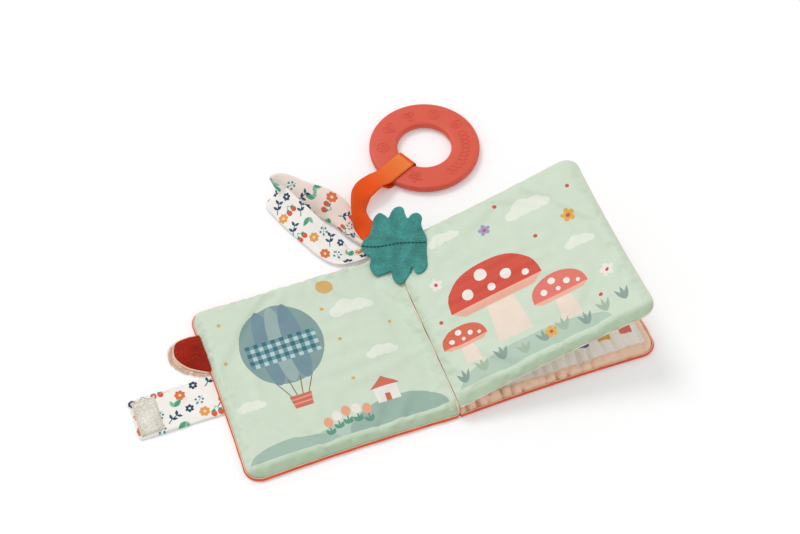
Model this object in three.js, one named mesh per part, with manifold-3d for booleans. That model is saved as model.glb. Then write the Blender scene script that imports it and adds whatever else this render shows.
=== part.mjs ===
// A crinkle cloth book for a baby, lying open: the front cover flat on the left, the middle leaf
// lifted on the right and the back cover flat under it. A teether ring on a ribbon, a cloth carrying
// loop and a felt leaf are sewn in at the top of the spine, and a closing strap and a small terry tab
// at the front cover's fore edge.
//
// Millimetres, +Z up. X runs across the pages, Y up the pages, and the origin is on the floor under
// the middle of the spine. The front cover turns about the cover hinge and the leaf about the leaf
// hinge, both along Y over the spine.
import * as THREE from 'three';
import * as BufferGeometryUtils from 'three/addons/utils/BufferGeometryUtils.js';
import Module from 'manifold-3d';

const wasm = await Module();
wasm.setup();

// Pages and covers
const page_width = 152;
const page_height = 145;
const page_corner_radius = 12;
const spine_corner_radius = 3;
const side_draw_in = 1.5;
const cloth_ply = 0.8;
const cover_thickness = 8;
const cover_seam_height = 2.4;
const leaf_thickness = 7.4;
const leaf_lift_degrees = 17.5;
const free_margin = 1.2;
const gutter_margin = 5;
const underside_curl = 6;
const batting_inset = 7;
const film_inset = 9;
const film_thickness = 0.4;
const least_ring_step = 2;
const pad_fullness_power = 10;

// Spine
const gutter_half_gap = 1.2;
const binding_radius = 1.3;

// Felt leaf
const felt_thickness = 1.5;
const felt_length = 51;
const felt_width = 65;
const felt_turn_degrees = -30;
const felt_tip_x = -17;
const felt_tip_out = 9.5;
const felt_gutter_gap = 4;
const felt_leaf_side_start = 9;
const felt_root_half_width = 2.6;
const felt_root_height = 3;
const felt_root_length = 24;
const felt_root_stem = 2;

// Teether ring
const ring_outer_diameter = 86;
const ring_bore = 42;
const ring_thickness = 6;
const ring_edge_radius = 1.6;
const relief_height = 0.6;
const relief_size = 9;

// Ribbon, from its root on the spine's top over a bend to the loop round the ring
const ribbon_width = 15.5;
const ribbon_thickness = 0.7;
const ribbon_root_x = 1.5;
const ribbon_root_end_x = -7;
const ribbon_root_length = 26.5;
const ribbon_bend_x = 13;
const ribbon_run_reach = 35.5;
const ribbon_bend_height = 12;
const ribbon_turn_degrees = 25.6;
const ribbon_fork_length = 9.4;
const ribbon_bight_room = 3.2;
const ribbon_mouth_room = 3;

// Carrying loop, and the line where it bends off its sewn ends
const loop_length = 80;
const loop_strip_width = 23;
const loop_strip_thickness = 1.2;
const loop_root_thickness = 3;
const loop_root_bottom = 1.6;
const loop_bend_x = -25;
const loop_bend_out = 7;
const loop_bend_degrees = 54.8;
const loop_root_reach = 22;

// Closing strap
const strap_width = 32.5;
const strap_thickness = 1.4;
const strap_run_length = 27;
const strap_tip_length = 32.4;
const strap_centre_y = 2;
const strap_corner_radius = 2.5;
const strap_hinge_reach = 1.6;
const strap_root_overlap = 2.4;
const hook_patch_length = 19;
const hook_patch_thickness = 1.2;
const hook_patch_inset = 0.8;
const loop_patch_length = 24;
const loop_patch_thickness = 1.1;
const loop_patch_edge = 9;

// Terry tab
const tab_width = 33;
const tab_reach = 19.5;
const tab_thickness = 3;
const tab_centre_y = 37;
const plush_thickness = 1.4;
const plush_shift_x = -4;
const plush_shift_y = -1;

// Fits
const clearance = 0.3;
const bend_gap = 0.6;
const overrun = 1;

// Colours
const mint = 0xcfe0cc;
const velour_red = 0xd85a34;
const cream = 0xf2e2d2;
const felt_green = 0x45907f;
const coral = 0xd9624c;
const ribbon_orange = 0xf06a2c;
const printed_cotton = 0xf0ece6;
const wadding = 0xf4f4f0;
const film_clear = 0xdfe4e6;
const terry_red = 0xa63a22;
const plush_peach = 0xf0b28c;
const hook_cream = 0xe4ddcc;

const half_height = page_height / 2;
const seam_gap = clearance;

// Places above the pages' top edge
const felt_tip_y = half_height + felt_tip_out;
const loop_bend_y = half_height + loop_bend_out;
const ribbon_root_end_y = half_height + ribbon_root_length;
const ribbon_bend_y = ribbon_root_end_y + ribbon_run_reach;

// The leaf turns about the middle of its own thickness when it lies on the back cover. The cover
// hinge is half way up the closed book, with room for the felt leaf folded in two.
const leaf_hinge_height = cover_thickness + clearance + leaf_thickness / 2;
const folded_felt_room = 2 * felt_thickness + 3 * clearance;
const closed_height = 2 * cover_thickness + clearance + leaf_thickness + folded_felt_room;
const cover_hinge_height = closed_height / 2;
const leaf_root = binding_radius + clearance;

const object = new THREE.Group();

const leaf_group = new THREE.Group();
leaf_group.position.z = leaf_hinge_height;
leaf_group.rotation.y = -THREE.MathUtils.degToRad(leaf_lift_degrees);
object.add(leaf_group);

function add(name, geometry, color, roughness, parent = object) {
  const material = new THREE.MeshStandardMaterial({ color, roughness, metalness: 0 });
  const mesh = new THREE.Mesh(geometry, material);
  mesh.name = name;
  parent.add(mesh);
  return mesh;
}

function geometryFrom(positions, triangles) {
  const geometry = new THREE.BufferGeometry();
  geometry.setAttribute('position', new THREE.Float32BufferAttribute(positions, 3));
  geometry.setIndex(triangles);
  return geometry;
}

// Cuts and joins
function solidFrom(geometry) {
  const bare = geometry.clone();
  bare.deleteAttribute('normal');
  bare.deleteAttribute('uv');
  const merged = BufferGeometryUtils.mergeVertices(bare);
  return new wasm.Manifold(new wasm.Mesh({
    numProp: 3,
    vertProperties: new Float32Array(merged.attributes.position.array),
    triVerts: new Uint32Array(merged.index.array),
  }));
}

function geometryOf(solid) {
  const mesh = solid.getMesh();
  const geometry = new THREE.BufferGeometry();
  geometry.setAttribute('position', new THREE.BufferAttribute(mesh.vertProperties, 3));
  geometry.setIndex(new THREE.BufferAttribute(mesh.triVerts, 1));
  return geometry;
}

function boxBetween(low, high) {
  const size = high.map((value, axis) => value - low[axis]);
  const box = new THREE.BoxGeometry(size[0], size[1], size[2]);
  return box.translate(low[0] + size[0] / 2, low[1] + size[1] / 2, low[2] + size[2] / 2);
}

// Padded page panels
const pad_depth = half_height - free_margin;
const pad_depth_shares = [0, 0.025, 0.06, 0.115, 0.2, 0.34, 0.56];

function padRise(depth, full) {
  const share = Math.min(Math.max(depth, 0) / pad_depth, 1);
  return full * (1 - (1 - share) ** pad_fullness_power);
}

function undersideDrop(depth, full) {
  const share = Math.min(Math.max(depth, 0) / underside_curl, 1);
  return full * (1 - (1 - share) ** 2);
}

// One closed outline of a page, at a depth inside its padding; a negative depth is the seam's edge.
// The three free sides pull in between their corners, and the side at the gutter is straight.
function pageRing(root, depth) {
  const at_edge = depth < 0;
  const inside = Math.max(depth, 0);
  const inset = at_edge ? 0 : free_margin + inside;
  const x_low = root + (at_edge ? 0 : gutter_margin + inside);
  const x_high = page_width - inset;
  const y_high = half_height - inset;
  const fade = 1 - inside / pad_depth;
  const outer_radius = page_corner_radius * fade + clearance;
  const inner_radius = spine_corner_radius * fade + clearance;
  const corners = [
    [x_high, -y_high, outer_radius, -Math.PI / 2],
    [x_high, y_high, outer_radius, 0],
    [x_low, y_high, inner_radius, Math.PI / 2],
    [x_low, -y_high, inner_radius, Math.PI],
  ];
  const corner_steps = 4;
  const side_steps = 4;
  const points = [];
  for (let i = 0; i < corners.length; i++) {
    const [x, y, radius, start] = corners[i];
    const centre_x = x - radius * Math.sign(x - (x_low + x_high) / 2);
    const centre_y = y - radius * Math.sign(y);
    for (let j = 0; j <= corner_steps; j++) {
      const angle = start + (Math.PI / 2) * (j / corner_steps);
      points.push([centre_x + radius * Math.cos(angle), centre_y + radius * Math.sin(angle)]);
    }
    const from = points[points.length - 1];
    const [next_x, next_y, next_radius, next_start] = corners[(i + 1) % corners.length];
    const next_centre_x = next_x - next_radius * Math.sign(next_x - (x_low + x_high) / 2);
    const next_centre_y = next_y - next_radius * Math.sign(next_y);
    const to = [
      next_centre_x + next_radius * Math.cos(next_start),
      next_centre_y + next_radius * Math.sin(next_start),
    ];
    const pull = i === 2 ? 0 : side_draw_in * fade;
    const inward = [-(to[1] - from[1]), to[0] - from[0]];
    const length = Math.hypot(inward[0], inward[1]);
    for (let j = 1; j < side_steps; j++) {
      const share = j / side_steps;
      const shift = (pull * 4 * share * (1 - share)) / length;
      points.push([
        from[0] + (to[0] - from[0]) * share + inward[0] * shift,
        from[1] + (to[1] - from[1]) * share + inward[1] * shift,
      ]);
    }
  }
  return points;
}

// A closed body between two surfaces over a page's outline, each a height for a depth in the pad.
function pageBody(side, root, depths, upper, lower) {
  const rings = depths.map((depth) => pageRing(root, depth));
  const count = rings[0].length;
  const positions = [];
  for (const surface of [upper, lower]) {
    rings.forEach((ring, k) => {
      for (const [x, y] of ring) positions.push(side * x, y, surface(depths[k]));
    });
    positions.push(side * (root + page_width) / 2, 0, surface(pad_depth));
  }
  const layer = rings.length * count + 1;
  const triangles = [];
  const put = (a, b, c) => triangles.push(...(side > 0 ? [a, b, c] : [a, c, b]));
  for (let j = 0; j < count; j++) {
    const next = (j + 1) % count;
    for (let k = 0; k < rings.length - 1; k++) {
      const a = k * count + j;
      const b = k * count + next;
      put(a, b, b + count);
      put(a, b + count, a + count);
      put(layer + a, layer + b + count, layer + b);
      put(layer + a, layer + a + count, layer + b + count);
    }
    const last = (rings.length - 1) * count;
    put(last + j, last + next, layer - 1);
    put(layer + last + j, 2 * layer - 1, layer + last + next);
    put(j, layer + j, layer + next);
    put(j, layer + next, next);
  }
  return geometryFrom(positions, triangles);
}

const seam_edge = -overrun;
const panel_depths = [seam_edge, ...pad_depth_shares.map((share) => share * pad_depth)];
const flat_depths = [seam_edge, 0, underside_curl / 3, underside_curl, pad_depth / 2];

function insideDepths(inset) {
  return [inset, ...panel_depths.filter((depth) => depth > inset + least_ring_step)];
}

// The four layers of a padded page, from a description of its two faces
function padLayers(side, root, seam, upper_rise, lower_drop, lower_depths) {
  const half_gap = seam_gap / 2;
  const cavityTop = (depth) => seam + half_gap + upper_rise(depth - cloth_ply);
  const cavityFloor = (depth) => seam - half_gap - lower_drop(depth - cloth_ply);
  const filmTop = (depth) => cavityTop(depth) - clearance;
  return {
    upper: pageBody(side, root, panel_depths,
      (depth) => seam + half_gap + cloth_ply + upper_rise(depth), cavityTop),
    film: pageBody(side, root, insideDepths(film_inset), filmTop,
      (depth) => filmTop(depth) - film_thickness),
    batting: pageBody(side, root, insideDepths(batting_inset),
      (depth) => filmTop(depth) - film_thickness - clearance,
      (depth) => cavityFloor(depth) + clearance),
    lower: pageBody(side, root, lower_depths, cavityFloor,
      (depth) => seam - half_gap - cloth_ply - lower_drop(depth)),
  };
}

function coverLayers(side) {
  const upper_full = cover_thickness - cover_seam_height - seam_gap / 2 - cloth_ply;
  const lower_full = cover_seam_height - seam_gap / 2 - cloth_ply;
  return padLayers(side, gutter_half_gap, cover_seam_height,
    (depth) => padRise(depth, upper_full),
    (depth) => undersideDrop(depth, lower_full), flat_depths);
}

// Front cover
const front = coverLayers(-1);
add('front_inner_panel', front.upper, mint, 0.6);
add('front_crinkle_film', front.film, film_clear, 0.3);
add('front_batting', front.batting, wadding, 0.95);
add('front_outer_panel', front.lower, velour_red, 0.9);

// Back cover, with a window in its outer panel where the loop patch is let in
const back = coverLayers(1);
const patch_far_x = page_width - loop_patch_edge;
const patch_near_x = patch_far_x - loop_patch_length;
const patch_low_y = strap_centre_y - strap_width / 2 + clearance;
const patch_high_y = strap_centre_y + strap_width / 2 - clearance;
const patch_window = boxBetween(
  [patch_near_x - clearance, patch_low_y - clearance, -overrun],
  [patch_far_x + clearance, patch_high_y + clearance, cloth_ply + clearance + overrun],
);
const patch_room = boxBetween(
  [patch_near_x - clearance, patch_low_y - clearance, -overrun],
  [patch_far_x + clearance, patch_high_y + clearance, loop_patch_thickness + clearance],
);
add('back_inner_panel', back.upper, cream, 0.6);
add('back_crinkle_film', back.film, film_clear, 0.3);
add('back_batting', geometryOf(solidFrom(back.batting).subtract(solidFrom(patch_room))), wadding, 0.95);
add('back_outer_panel', geometryOf(solidFrom(back.lower).subtract(solidFrom(patch_window))),
  velour_red, 0.9);
add('loop_patch', boxBetween([patch_near_x, patch_low_y, 0],
  [patch_far_x, patch_high_y, loop_patch_thickness]), hook_cream, 0.9);

// Middle leaf
const leaf_full = leaf_thickness / 2 - seam_gap / 2 - cloth_ply;
const leaf = padLayers(1, leaf_root, 0,
  (depth) => padRise(depth, leaf_full),
  (depth) => padRise(depth, leaf_full), panel_depths);
add('leaf_upper_panel', leaf.upper, mint, 0.6, leaf_group);
add('leaf_crinkle_film', leaf.film, film_clear, 0.3, leaf_group);
add('leaf_batting', leaf.batting, wadding, 0.95, leaf_group);
add('leaf_lower_panel', leaf.lower, mint, 0.6, leaf_group);

// Spine: a strip on the floor, an upright web between the covers and the bound edge of the leaf
const strip_thickness = cover_seam_height - seam_gap / 2 - cloth_ply - clearance;
const strip_half_width = gutter_half_gap + gutter_margin - 2 * clearance;
const spine_half_length = half_height - clearance;
const web_half_width = gutter_half_gap - 2 * clearance;
add('spine_strip', boxBetween([-strip_half_width, -spine_half_length, 0],
  [strip_half_width, spine_half_length, strip_thickness]), velour_red, 0.9);
add('gutter_web', boxBetween([-web_half_width, -spine_half_length, strip_thickness + clearance],
  [web_half_width, spine_half_length, leaf_hinge_height - binding_radius - clearance]), cream, 0.8);
const binding_sides = 12;
add('leaf_binding', new THREE.CylinderGeometry(binding_radius, binding_radius,
  2 * spine_half_length, binding_sides), cream, 0.8, leaf_group);

// Felt leaf, cut as one outline: a tip, three lobes a side and a straight base. It is creased over
// the gutter, so one half lies on the front cover and the other on the leaf, and its root is sewn
// to the spine's top between them.
const lobe_shares = [
  [0.09, 0.16], [0.20, 0.38], [0.38, 0.31], [0.57, 0.49], [0.75, 0.32], [0.88, 0.39],
];
const base_half_share = 0.22;
function feltOutline() {
  const points = [new THREE.Vector2(0, 0)];
  for (const [along, across] of lobe_shares) {
    points.push(new THREE.Vector2(along * felt_length, across * felt_width));
  }
  points.push(new THREE.Vector2(felt_length, base_half_share * felt_width));
  const base = points.slice(1).reverse().map((point) => new THREE.Vector2(point.x, -point.y));
  const curve_steps = 20;
  const far_side = new THREE.SplineCurve(points).getPoints(curve_steps);
  const near_side = new THREE.SplineCurve([...base, new THREE.Vector2(0, 0)]).getPoints(curve_steps);
  const turn = THREE.MathUtils.degToRad(felt_turn_degrees);
  const place = (point) => point.rotateAround(new THREE.Vector2(0, 0), turn)
    .add(new THREE.Vector2(felt_tip_x, felt_tip_y));
  return [...far_side, ...near_side.slice(0, -1)].map(place).reverse();
}

function feltPiece(x_low, x_high, height) {
  const sheet = new THREE.ExtrudeGeometry(new THREE.Shape(feltOutline()),
    { depth: felt_thickness, bevelEnabled: false, steps: 1 }).translate(0, 0, height);
  const reach = 2 * felt_width;
  const keep = boxBetween([x_low, -reach, height - overrun],
    [x_high, 2 * reach, height + felt_thickness + overrun]);
  return geometryOf(solidFrom(sheet).intersect(solidFrom(keep)));
}

const felt_reach = 2 * felt_length;
const felt_on_cover = cover_thickness + clearance;
const felt_on_leaf = leaf_thickness / 2 + clearance;
add('felt_leaf_left_half', feltPiece(-felt_reach, -felt_gutter_gap, felt_on_cover), felt_green, 0.95);
add('felt_leaf_right_half', feltPiece(felt_leaf_side_start, felt_reach, felt_on_leaf),
  felt_green, 0.95, leaf_group);

// The felt's sewn root: a small roof over a stem that stands on the sewn ends below it
const root_start_y = half_height + 2 * clearance;
const loop_root_top = loop_root_bottom + loop_root_thickness;
const ribbon_root_bottom = loop_root_top + clearance;
const ribbon_root_top = ribbon_root_bottom + 2 * ribbon_thickness;
const felt_root_bottom = ribbon_root_top + clearance;
const felt_root_top = cover_hinge_height + felt_thickness;
const felt_root_shape = new THREE.Shape();
felt_root_shape.moveTo(-felt_root_stem / 2, felt_root_bottom);
felt_root_shape.lineTo(felt_root_stem / 2, felt_root_bottom);
felt_root_shape.lineTo(felt_root_stem / 2, felt_root_top - felt_root_height / 2);
felt_root_shape.lineTo(felt_root_half_width, felt_root_top - felt_root_height / 4);
felt_root_shape.lineTo(felt_root_half_width, felt_root_top + felt_root_height / 4);
felt_root_shape.lineTo(-felt_root_half_width, felt_root_top - felt_root_height / 2);
felt_root_shape.lineTo(-felt_root_half_width, felt_root_top - felt_root_height);
felt_root_shape.lineTo(-felt_root_stem / 2, felt_root_top - felt_root_height);
const felt_root = new THREE.ExtrudeGeometry(felt_root_shape,
  { depth: felt_root_length, bevelEnabled: false, steps: 1 });
felt_root.rotateX(Math.PI / 2).translate(0, root_start_y + felt_root_length, 0);
add('felt_leaf_root', felt_root, felt_green, 0.95);

// A flat band swept through stations, each with its middle, the way across and a width. It is lifted
// where it would dip under the floor.
function bandGeometry(stations, thickness, steps) {
  const middle = new THREE.CatmullRomCurve3(stations.map((s) => new THREE.Vector3(...s.middle)));
  const across = new THREE.CatmullRomCurve3(stations.map((s) => new THREE.Vector3(...s.across)));
  const widths = new THREE.SplineCurve(stations.map((s) => new THREE.Vector2(s.width, 0)));
  const positions = [];
  for (let i = 0; i <= steps; i++) {
    const share = i / steps;
    const centre = middle.getPoint(share);
    const way = middle.getTangent(share);
    const half = across.getPoint(share);
    half.addScaledVector(way, -half.dot(way)).setLength(widths.getPoint(share).x / 2);
    const up = new THREE.Vector3().crossVectors(way, half).setLength(thickness / 2);
    centre.z = Math.max(centre.z, Math.abs(half.z) + Math.abs(up.z));
    const low = centre.clone().sub(half);
    const high = centre.clone().add(half);
    const corners = [low.clone().sub(up), high.clone().sub(up), high.clone().add(up), low.add(up)];
    for (const corner of corners) positions.push(corner.x, corner.y, corner.z);
  }
  const triangles = [0, 2, 1, 0, 3, 2];
  for (let i = 0; i < steps; i++) {
    for (let j = 0; j < 4; j++) {
      const a = 4 * i + j;
      const b = 4 * i + ((j + 1) % 4);
      triangles.push(a, b, b + 4, a, b + 4, a + 4);
    }
  }
  const end = 4 * steps;
  triangles.push(end, end + 1, end + 2, end, end + 2, end + 3);
  return geometryFrom(positions, triangles);
}

function flatPlate(corners, bottom, thickness) {
  const shape = new THREE.Shape(corners.map(([x, y]) => new THREE.Vector2(x, y)));
  const plate = new THREE.ExtrudeGeometry(shape, { depth: thickness, bevelEnabled: false, steps: 1 });
  return plate.translate(0, 0, bottom);
}

// Carrying loop: one strip of printed cotton that stands on its edge and leans back. Its stations
// run out along the near side, round the tip and home along the far side; places are shares of the
// loop's length from the spine's top, and heights and widths shares of the strip's width.
const loop_station_shares = [
  { place: [-0.349, 0.042], height: 0.096, across: [0.58, 0.82, 0.02], width: 0.46 },
  { place: [-0.505, 0.092], height: 0.052, across: [0.52, 0.76, 0.35], width: 0.85 },
  { place: [-0.694, 0.438], height: 0.044, across: [0.62, 0.55, 0.56], width: 1 },
  { place: [-0.813, 0.731], height: 0.044, across: [0.70, 0.42, 0.56], width: 1 },
  { place: [-0.850, 0.885], height: 0.044, across: [0.55, 0.60, 0.58], width: 1 },
  { place: [-0.750, 0.935], height: 0.044, across: [0.38, 0.70, 0.60], width: 1 },
  { place: [-0.588, 0.781], height: 0.044, across: [0.29, 0.76, 0.58], width: 1 },
  { place: [-0.375, 0.569], height: 0.044, across: [0.29, 0.76, 0.58], width: 1 },
  { place: [-0.313, 0.445], height: 0.052, across: [0.60, 0.62, 0.40], width: 0.78 },
  { place: [-0.264, 0.326], height: 0.096, across: [0.98, 0.16, 0.02], width: 0.46 },
];
const loop_stations = loop_station_shares.map(({ place, height, across, width }) => {
  const way = new THREE.Vector3(...across).setLength(width * loop_strip_width / 2);
  const edge = new THREE.Vector3(place[0] * loop_length, half_height + place[1] * loop_length,
    height * loop_strip_width + loop_strip_thickness / 2);
  return { middle: edge.add(way).toArray(), across, width: width * loop_strip_width };
});
const loop_steps = 44;
add('carrying_loop', bandGeometry(loop_stations, loop_strip_thickness, loop_steps),
  printed_cotton, 0.85);

const loop_bend = THREE.MathUtils.degToRad(loop_bend_degrees);
const bend_start_x = loop_bend_x + clearance / 2 * Math.sin(loop_bend);
const bend_start_y = loop_bend_y - clearance / 2 * Math.cos(loop_bend);
add('carrying_loop_root', flatPlate([
  [bend_start_x, root_start_y + clearance],
  [ribbon_root_x, root_start_y],
  [bend_start_x + loop_root_reach * Math.cos(loop_bend),
    bend_start_y + loop_root_reach * Math.sin(loop_bend)],
  [bend_start_x, bend_start_y],
], loop_root_bottom, loop_root_thickness), printed_cotton, 0.85);

// Ribbon: two plies lie together up to the bend, then part and go round the ring
const ribbon_root_half = ribbon_width / 2;
add('ribbon_root', flatPlate([
  [ribbon_root_x - ribbon_root_half, root_start_y],
  [ribbon_root_x + ribbon_root_half, root_start_y],
  [ribbon_root_end_x + ribbon_root_half, ribbon_root_end_y - bend_gap],
  [ribbon_root_end_x - ribbon_root_half, ribbon_root_end_y - bend_gap],
], ribbon_root_bottom, 2 * ribbon_thickness), ribbon_orange, 0.5);

const run_x = ribbon_bend_x - ribbon_root_end_x;
const run_y = ribbon_bend_y - ribbon_root_end_y;
const ribbon_turn = THREE.MathUtils.degToRad(ribbon_turn_degrees);
const ribbon_along = [Math.cos(ribbon_turn), Math.sin(ribbon_turn)];
const ribbon_across = [Math.sin(ribbon_turn), -Math.cos(ribbon_turn), 0];
const ribbon_run_shares = [
  { place: [0, 0], height: 0, across: [1, 0, 0] },
  { place: [-0.05, 0.21], height: 0.45, across: [0.85, -0.15, -0.5] },
  { place: [0.05, 0.52], height: 0.85, across: [0.55, -0.4, -0.73] },
  { place: [0.42, 0.83], height: 1.05, across: [0.5, -0.8, -0.33] },
  { place: [1, 1], height: 1, across: ribbon_across },
];
const ribbon_root_middle = ribbon_root_bottom + ribbon_thickness;
const run_rise = ribbon_bend_height - ribbon_root_middle;
const ribbon_stations = ribbon_run_shares.map(({ place, height, across }, i) => {
  const last = i === ribbon_run_shares.length - 1;
  return {
    middle: [
      ribbon_root_end_x + place[0] * run_x - (last ? bend_gap * ribbon_along[0] : 0),
      ribbon_root_end_y + place[1] * run_y + (i === 0 ? bend_gap : 0)
        - (last ? bend_gap * ribbon_along[1] : 0),
      ribbon_root_middle + height * run_rise,
    ],
    across,
    width: ribbon_width,
  };
});
const ribbon_steps = 20;
add('ribbon_run', bandGeometry(ribbon_stations, 2 * ribbon_thickness, ribbon_steps),
  ribbon_orange, 0.5);

// Teether ring, raised by the ribbon's ply under it, with small raised pictures on its upper face
const ring_bottom = ribbon_thickness + clearance;
const ring_top = ring_bottom + ring_thickness;
const ring_middle_radius = (ring_outer_diameter + ring_bore) / 4;

function ringProfile() {
  const points = [];
  const corners = [
    [ring_outer_diameter / 2, 0, -Math.PI / 2],
    [ring_outer_diameter / 2, ring_thickness, 0],
    [ring_bore / 2, ring_thickness, Math.PI / 2],
    [ring_bore / 2, 0, Math.PI],
  ];
  const steps = 3;
  for (const [radius, height, start] of corners) {
    const centre_radius = radius - ring_edge_radius * Math.sign(radius - ring_middle_radius);
    const centre_height = height - ring_edge_radius * Math.sign(height - ring_thickness / 2);
    for (let j = 0; j <= steps; j++) {
      const angle = start + (Math.PI / 2) * (j / steps);
      points.push(new THREE.Vector2(centre_radius + ring_edge_radius * Math.cos(angle),
        centre_height + ring_edge_radius * Math.sin(angle)));
    }
  }
  points.push(points[0].clone());
  return points;
}

// Each raised picture is a round with a wavy edge; its reach and its waves are shares of its size
const picture_shares = [
  { reach: 0.36, wave: 0.14, lobes: 5 },
  { reach: 0.42, wave: 0, lobes: 1 },
  { reach: 0.40, wave: 0.10, lobes: 3 },
  { reach: 0.36, wave: 0.14, lobes: 2 },
  { reach: 0.40, wave: 0.08, lobes: 8 },
  { reach: 0.37, wave: 0.11, lobes: 4 },
  { reach: 0.38, wave: 0.12, lobes: 6 },
];
const picture_points = 24;
const picture_start_degrees = 20;
const picture_step_degrees = 36;

const ring_sides = 64;
let ring_solid = solidFrom(new THREE.LatheGeometry(ringProfile(), ring_sides)
  .rotateX(Math.PI / 2));
picture_shares.forEach(({ reach, wave, lobes }, i) => {
  const outline = [];
  for (let j = 0; j < picture_points; j++) {
    const angle = (2 * Math.PI * j) / picture_points;
    const radius = (reach + wave * Math.cos(lobes * angle)) * relief_size;
    outline.push([radius * Math.cos(angle), radius * Math.sin(angle)]);
  }
  const turn = THREE.MathUtils.degToRad(picture_start_degrees + i * picture_step_degrees);
  const picture = flatPlate(outline, ring_thickness - overrun, relief_height + overrun);
  picture.translate(ring_middle_radius, 0, 0).rotateZ(turn);
  ring_solid = ring_solid.add(solidFrom(picture));
});
const ring_along = ribbon_fork_length + ribbon_mouth_room + ring_outer_diameter / 2;
const ring = add('teether_ring', geometryOf(ring_solid), coral, 0.45);
ring.position.set(ribbon_bend_x + ring_along * ribbon_along[0],
  ribbon_bend_y + ring_along * ribbon_along[1], ring_bottom);

// The ribbon's two arms from the bend, over and under the ring, to the bight in its bore
const mouth = ribbon_fork_length;
const bight = ring_along - ring_bore / 2 + ribbon_bight_room;
const arm_bottom = ring_top + relief_height + clearance;
const arm_top = arm_bottom + ribbon_thickness;
const stem_top = ribbon_bend_height + ribbon_thickness;
const stem_bottom = ribbon_bend_height - ribbon_thickness;
const crotch_share = 0.36;
const crotch = crotch_share * mouth;
const upper_skin = ribbon_thickness * Math.hypot(1, (stem_top - arm_top) / mouth);
const lower_skin = ribbon_thickness * Math.hypot(1, stem_bottom / mouth);
const fork = new THREE.Shape([
  [bend_gap, stem_bottom], [mouth, 0], [bight + ribbon_thickness, 0],
  [bight + ribbon_thickness, arm_top], [mouth, arm_top], [bend_gap, stem_top],
].map(([x, y]) => new THREE.Vector2(x, y)));
fork.holes.push(new THREE.Path([
  [crotch, stem_bottom * (1 - crotch_share) + lower_skin],
  [crotch, stem_top + (arm_top - stem_top) * crotch_share - upper_skin],
  [mouth, arm_bottom], [bight, arm_bottom], [bight, ribbon_thickness], [mouth, ribbon_thickness],
].map(([x, y]) => new THREE.Vector2(x, y))));
const ribbon_loop = new THREE.ExtrudeGeometry(fork,
  { depth: ribbon_width, bevelEnabled: false, steps: 1 });
ribbon_loop.rotateX(Math.PI / 2).translate(0, ribbon_width / 2, 0).rotateZ(ribbon_turn);
ribbon_loop.translate(ribbon_bend_x, ribbon_bend_y, 0);
add('ribbon_loop', ribbon_loop, ribbon_orange, 0.5);

// Closing strap: its root under the cover's edge, the run down the closed book's fore edge and the
// tip with its hook patch, which meets the loop patch under the back cover
function roundedEndPlate(x_far, x_near, y_middle, width, radius, bottom, thickness) {
  const y_low = y_middle - width / 2;
  const y_high = y_middle + width / 2;
  const shape = new THREE.Shape();
  shape.moveTo(x_near, y_low);
  shape.lineTo(x_near, y_high);
  shape.lineTo(x_far + radius, y_high);
  shape.absarc(x_far + radius, y_high - radius, radius, Math.PI / 2, Math.PI, false);
  shape.absarc(x_far + radius, y_low + radius, radius, Math.PI, 1.5 * Math.PI, false);
  const plate = new THREE.ExtrudeGeometry(shape,
    { depth: thickness, bevelEnabled: false, steps: 1, curveSegments: 4 });
  return plate.translate(0, 0, bottom);
}

const strap_low_y = strap_centre_y - strap_width / 2;
const strap_high_y = strap_centre_y + strap_width / 2;
const strap_hinge_x = -page_width - strap_hinge_reach;
const strap_fold_x = strap_hinge_x - strap_run_length;
const strap_end_x = strap_fold_x - strap_tip_length;
add('strap_root', boxBetween([strap_hinge_x + bend_gap, strap_low_y, 0],
  [-page_width + strap_root_overlap, strap_high_y, strip_thickness]), printed_cotton, 0.85);
add('strap_run', boxBetween([strap_fold_x + bend_gap, strap_low_y, 0],
  [strap_hinge_x - bend_gap / 2, strap_high_y, strap_thickness]), printed_cotton, 0.85);
add('strap_tip', roundedEndPlate(strap_end_x, strap_fold_x - bend_gap / 2, strap_centre_y,
  strap_width, strap_corner_radius, 0, strap_thickness), printed_cotton, 0.85);
const patch_end_x = strap_end_x + hook_patch_inset;
add('hook_patch', roundedEndPlate(patch_end_x, patch_end_x + hook_patch_length, strap_centre_y,
  strap_width - 2 * hook_patch_inset, strap_corner_radius - hook_patch_inset,
  strap_thickness + clearance, hook_patch_thickness), hook_cream, 0.8);

// Terry tab with its plush backing, both rounded and slanted on the near side
const tab_outline_shares = [[0.5, 0.51], [0.84, 0.45], [1, 0.24], [0.96, 0.02], [0.62, -0.26]];
function tabPlate(shift_x, shift_y, bottom, thickness) {
  const start_x = -page_width - clearance;
  const place = ([along, across]) => new THREE.Vector2(start_x - along * tab_reach + shift_x,
    tab_centre_y + across * tab_width + shift_y);
  const near_start = new THREE.Vector2(start_x, place([0, -0.5]).y);
  const far_start = new THREE.Vector2(start_x, place([0, 0.5]).y);
  const curve = new THREE.SplineCurve([far_start, ...tab_outline_shares.map(place), near_start]);
  const curve_steps = 18;
  const plate = new THREE.ExtrudeGeometry(new THREE.Shape(curve.getPoints(curve_steps)),
    { depth: thickness, bevelEnabled: false, steps: 1 });
  return plate.translate(0, 0, bottom);
}
add('plush_tab', tabPlate(plush_shift_x, plush_shift_y, 0, plush_thickness), plush_peach, 0.95);
add('terry_tab', tabPlate(0, 0, plush_thickness + clearance, tab_thickness), terry_red, 0.95);

export default object;
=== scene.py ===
# %% [markdown]
# A crinkle cloth book for a baby, dressed in cloth. The imported CAD part gives the sizes, the
# hinges and the place of every piece. This script gives each piece the cloth, felt, ribbon or
# silicone that it is made of and lays it over its CAD solid. Some pieces are also parented to an
# empty named after their body.

# %% Load the frame
import math
import random
import bpy
import numpy as np
from mathutils import Matrix, Vector
from mathutils.geometry import delaunay_2d_cdt


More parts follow.
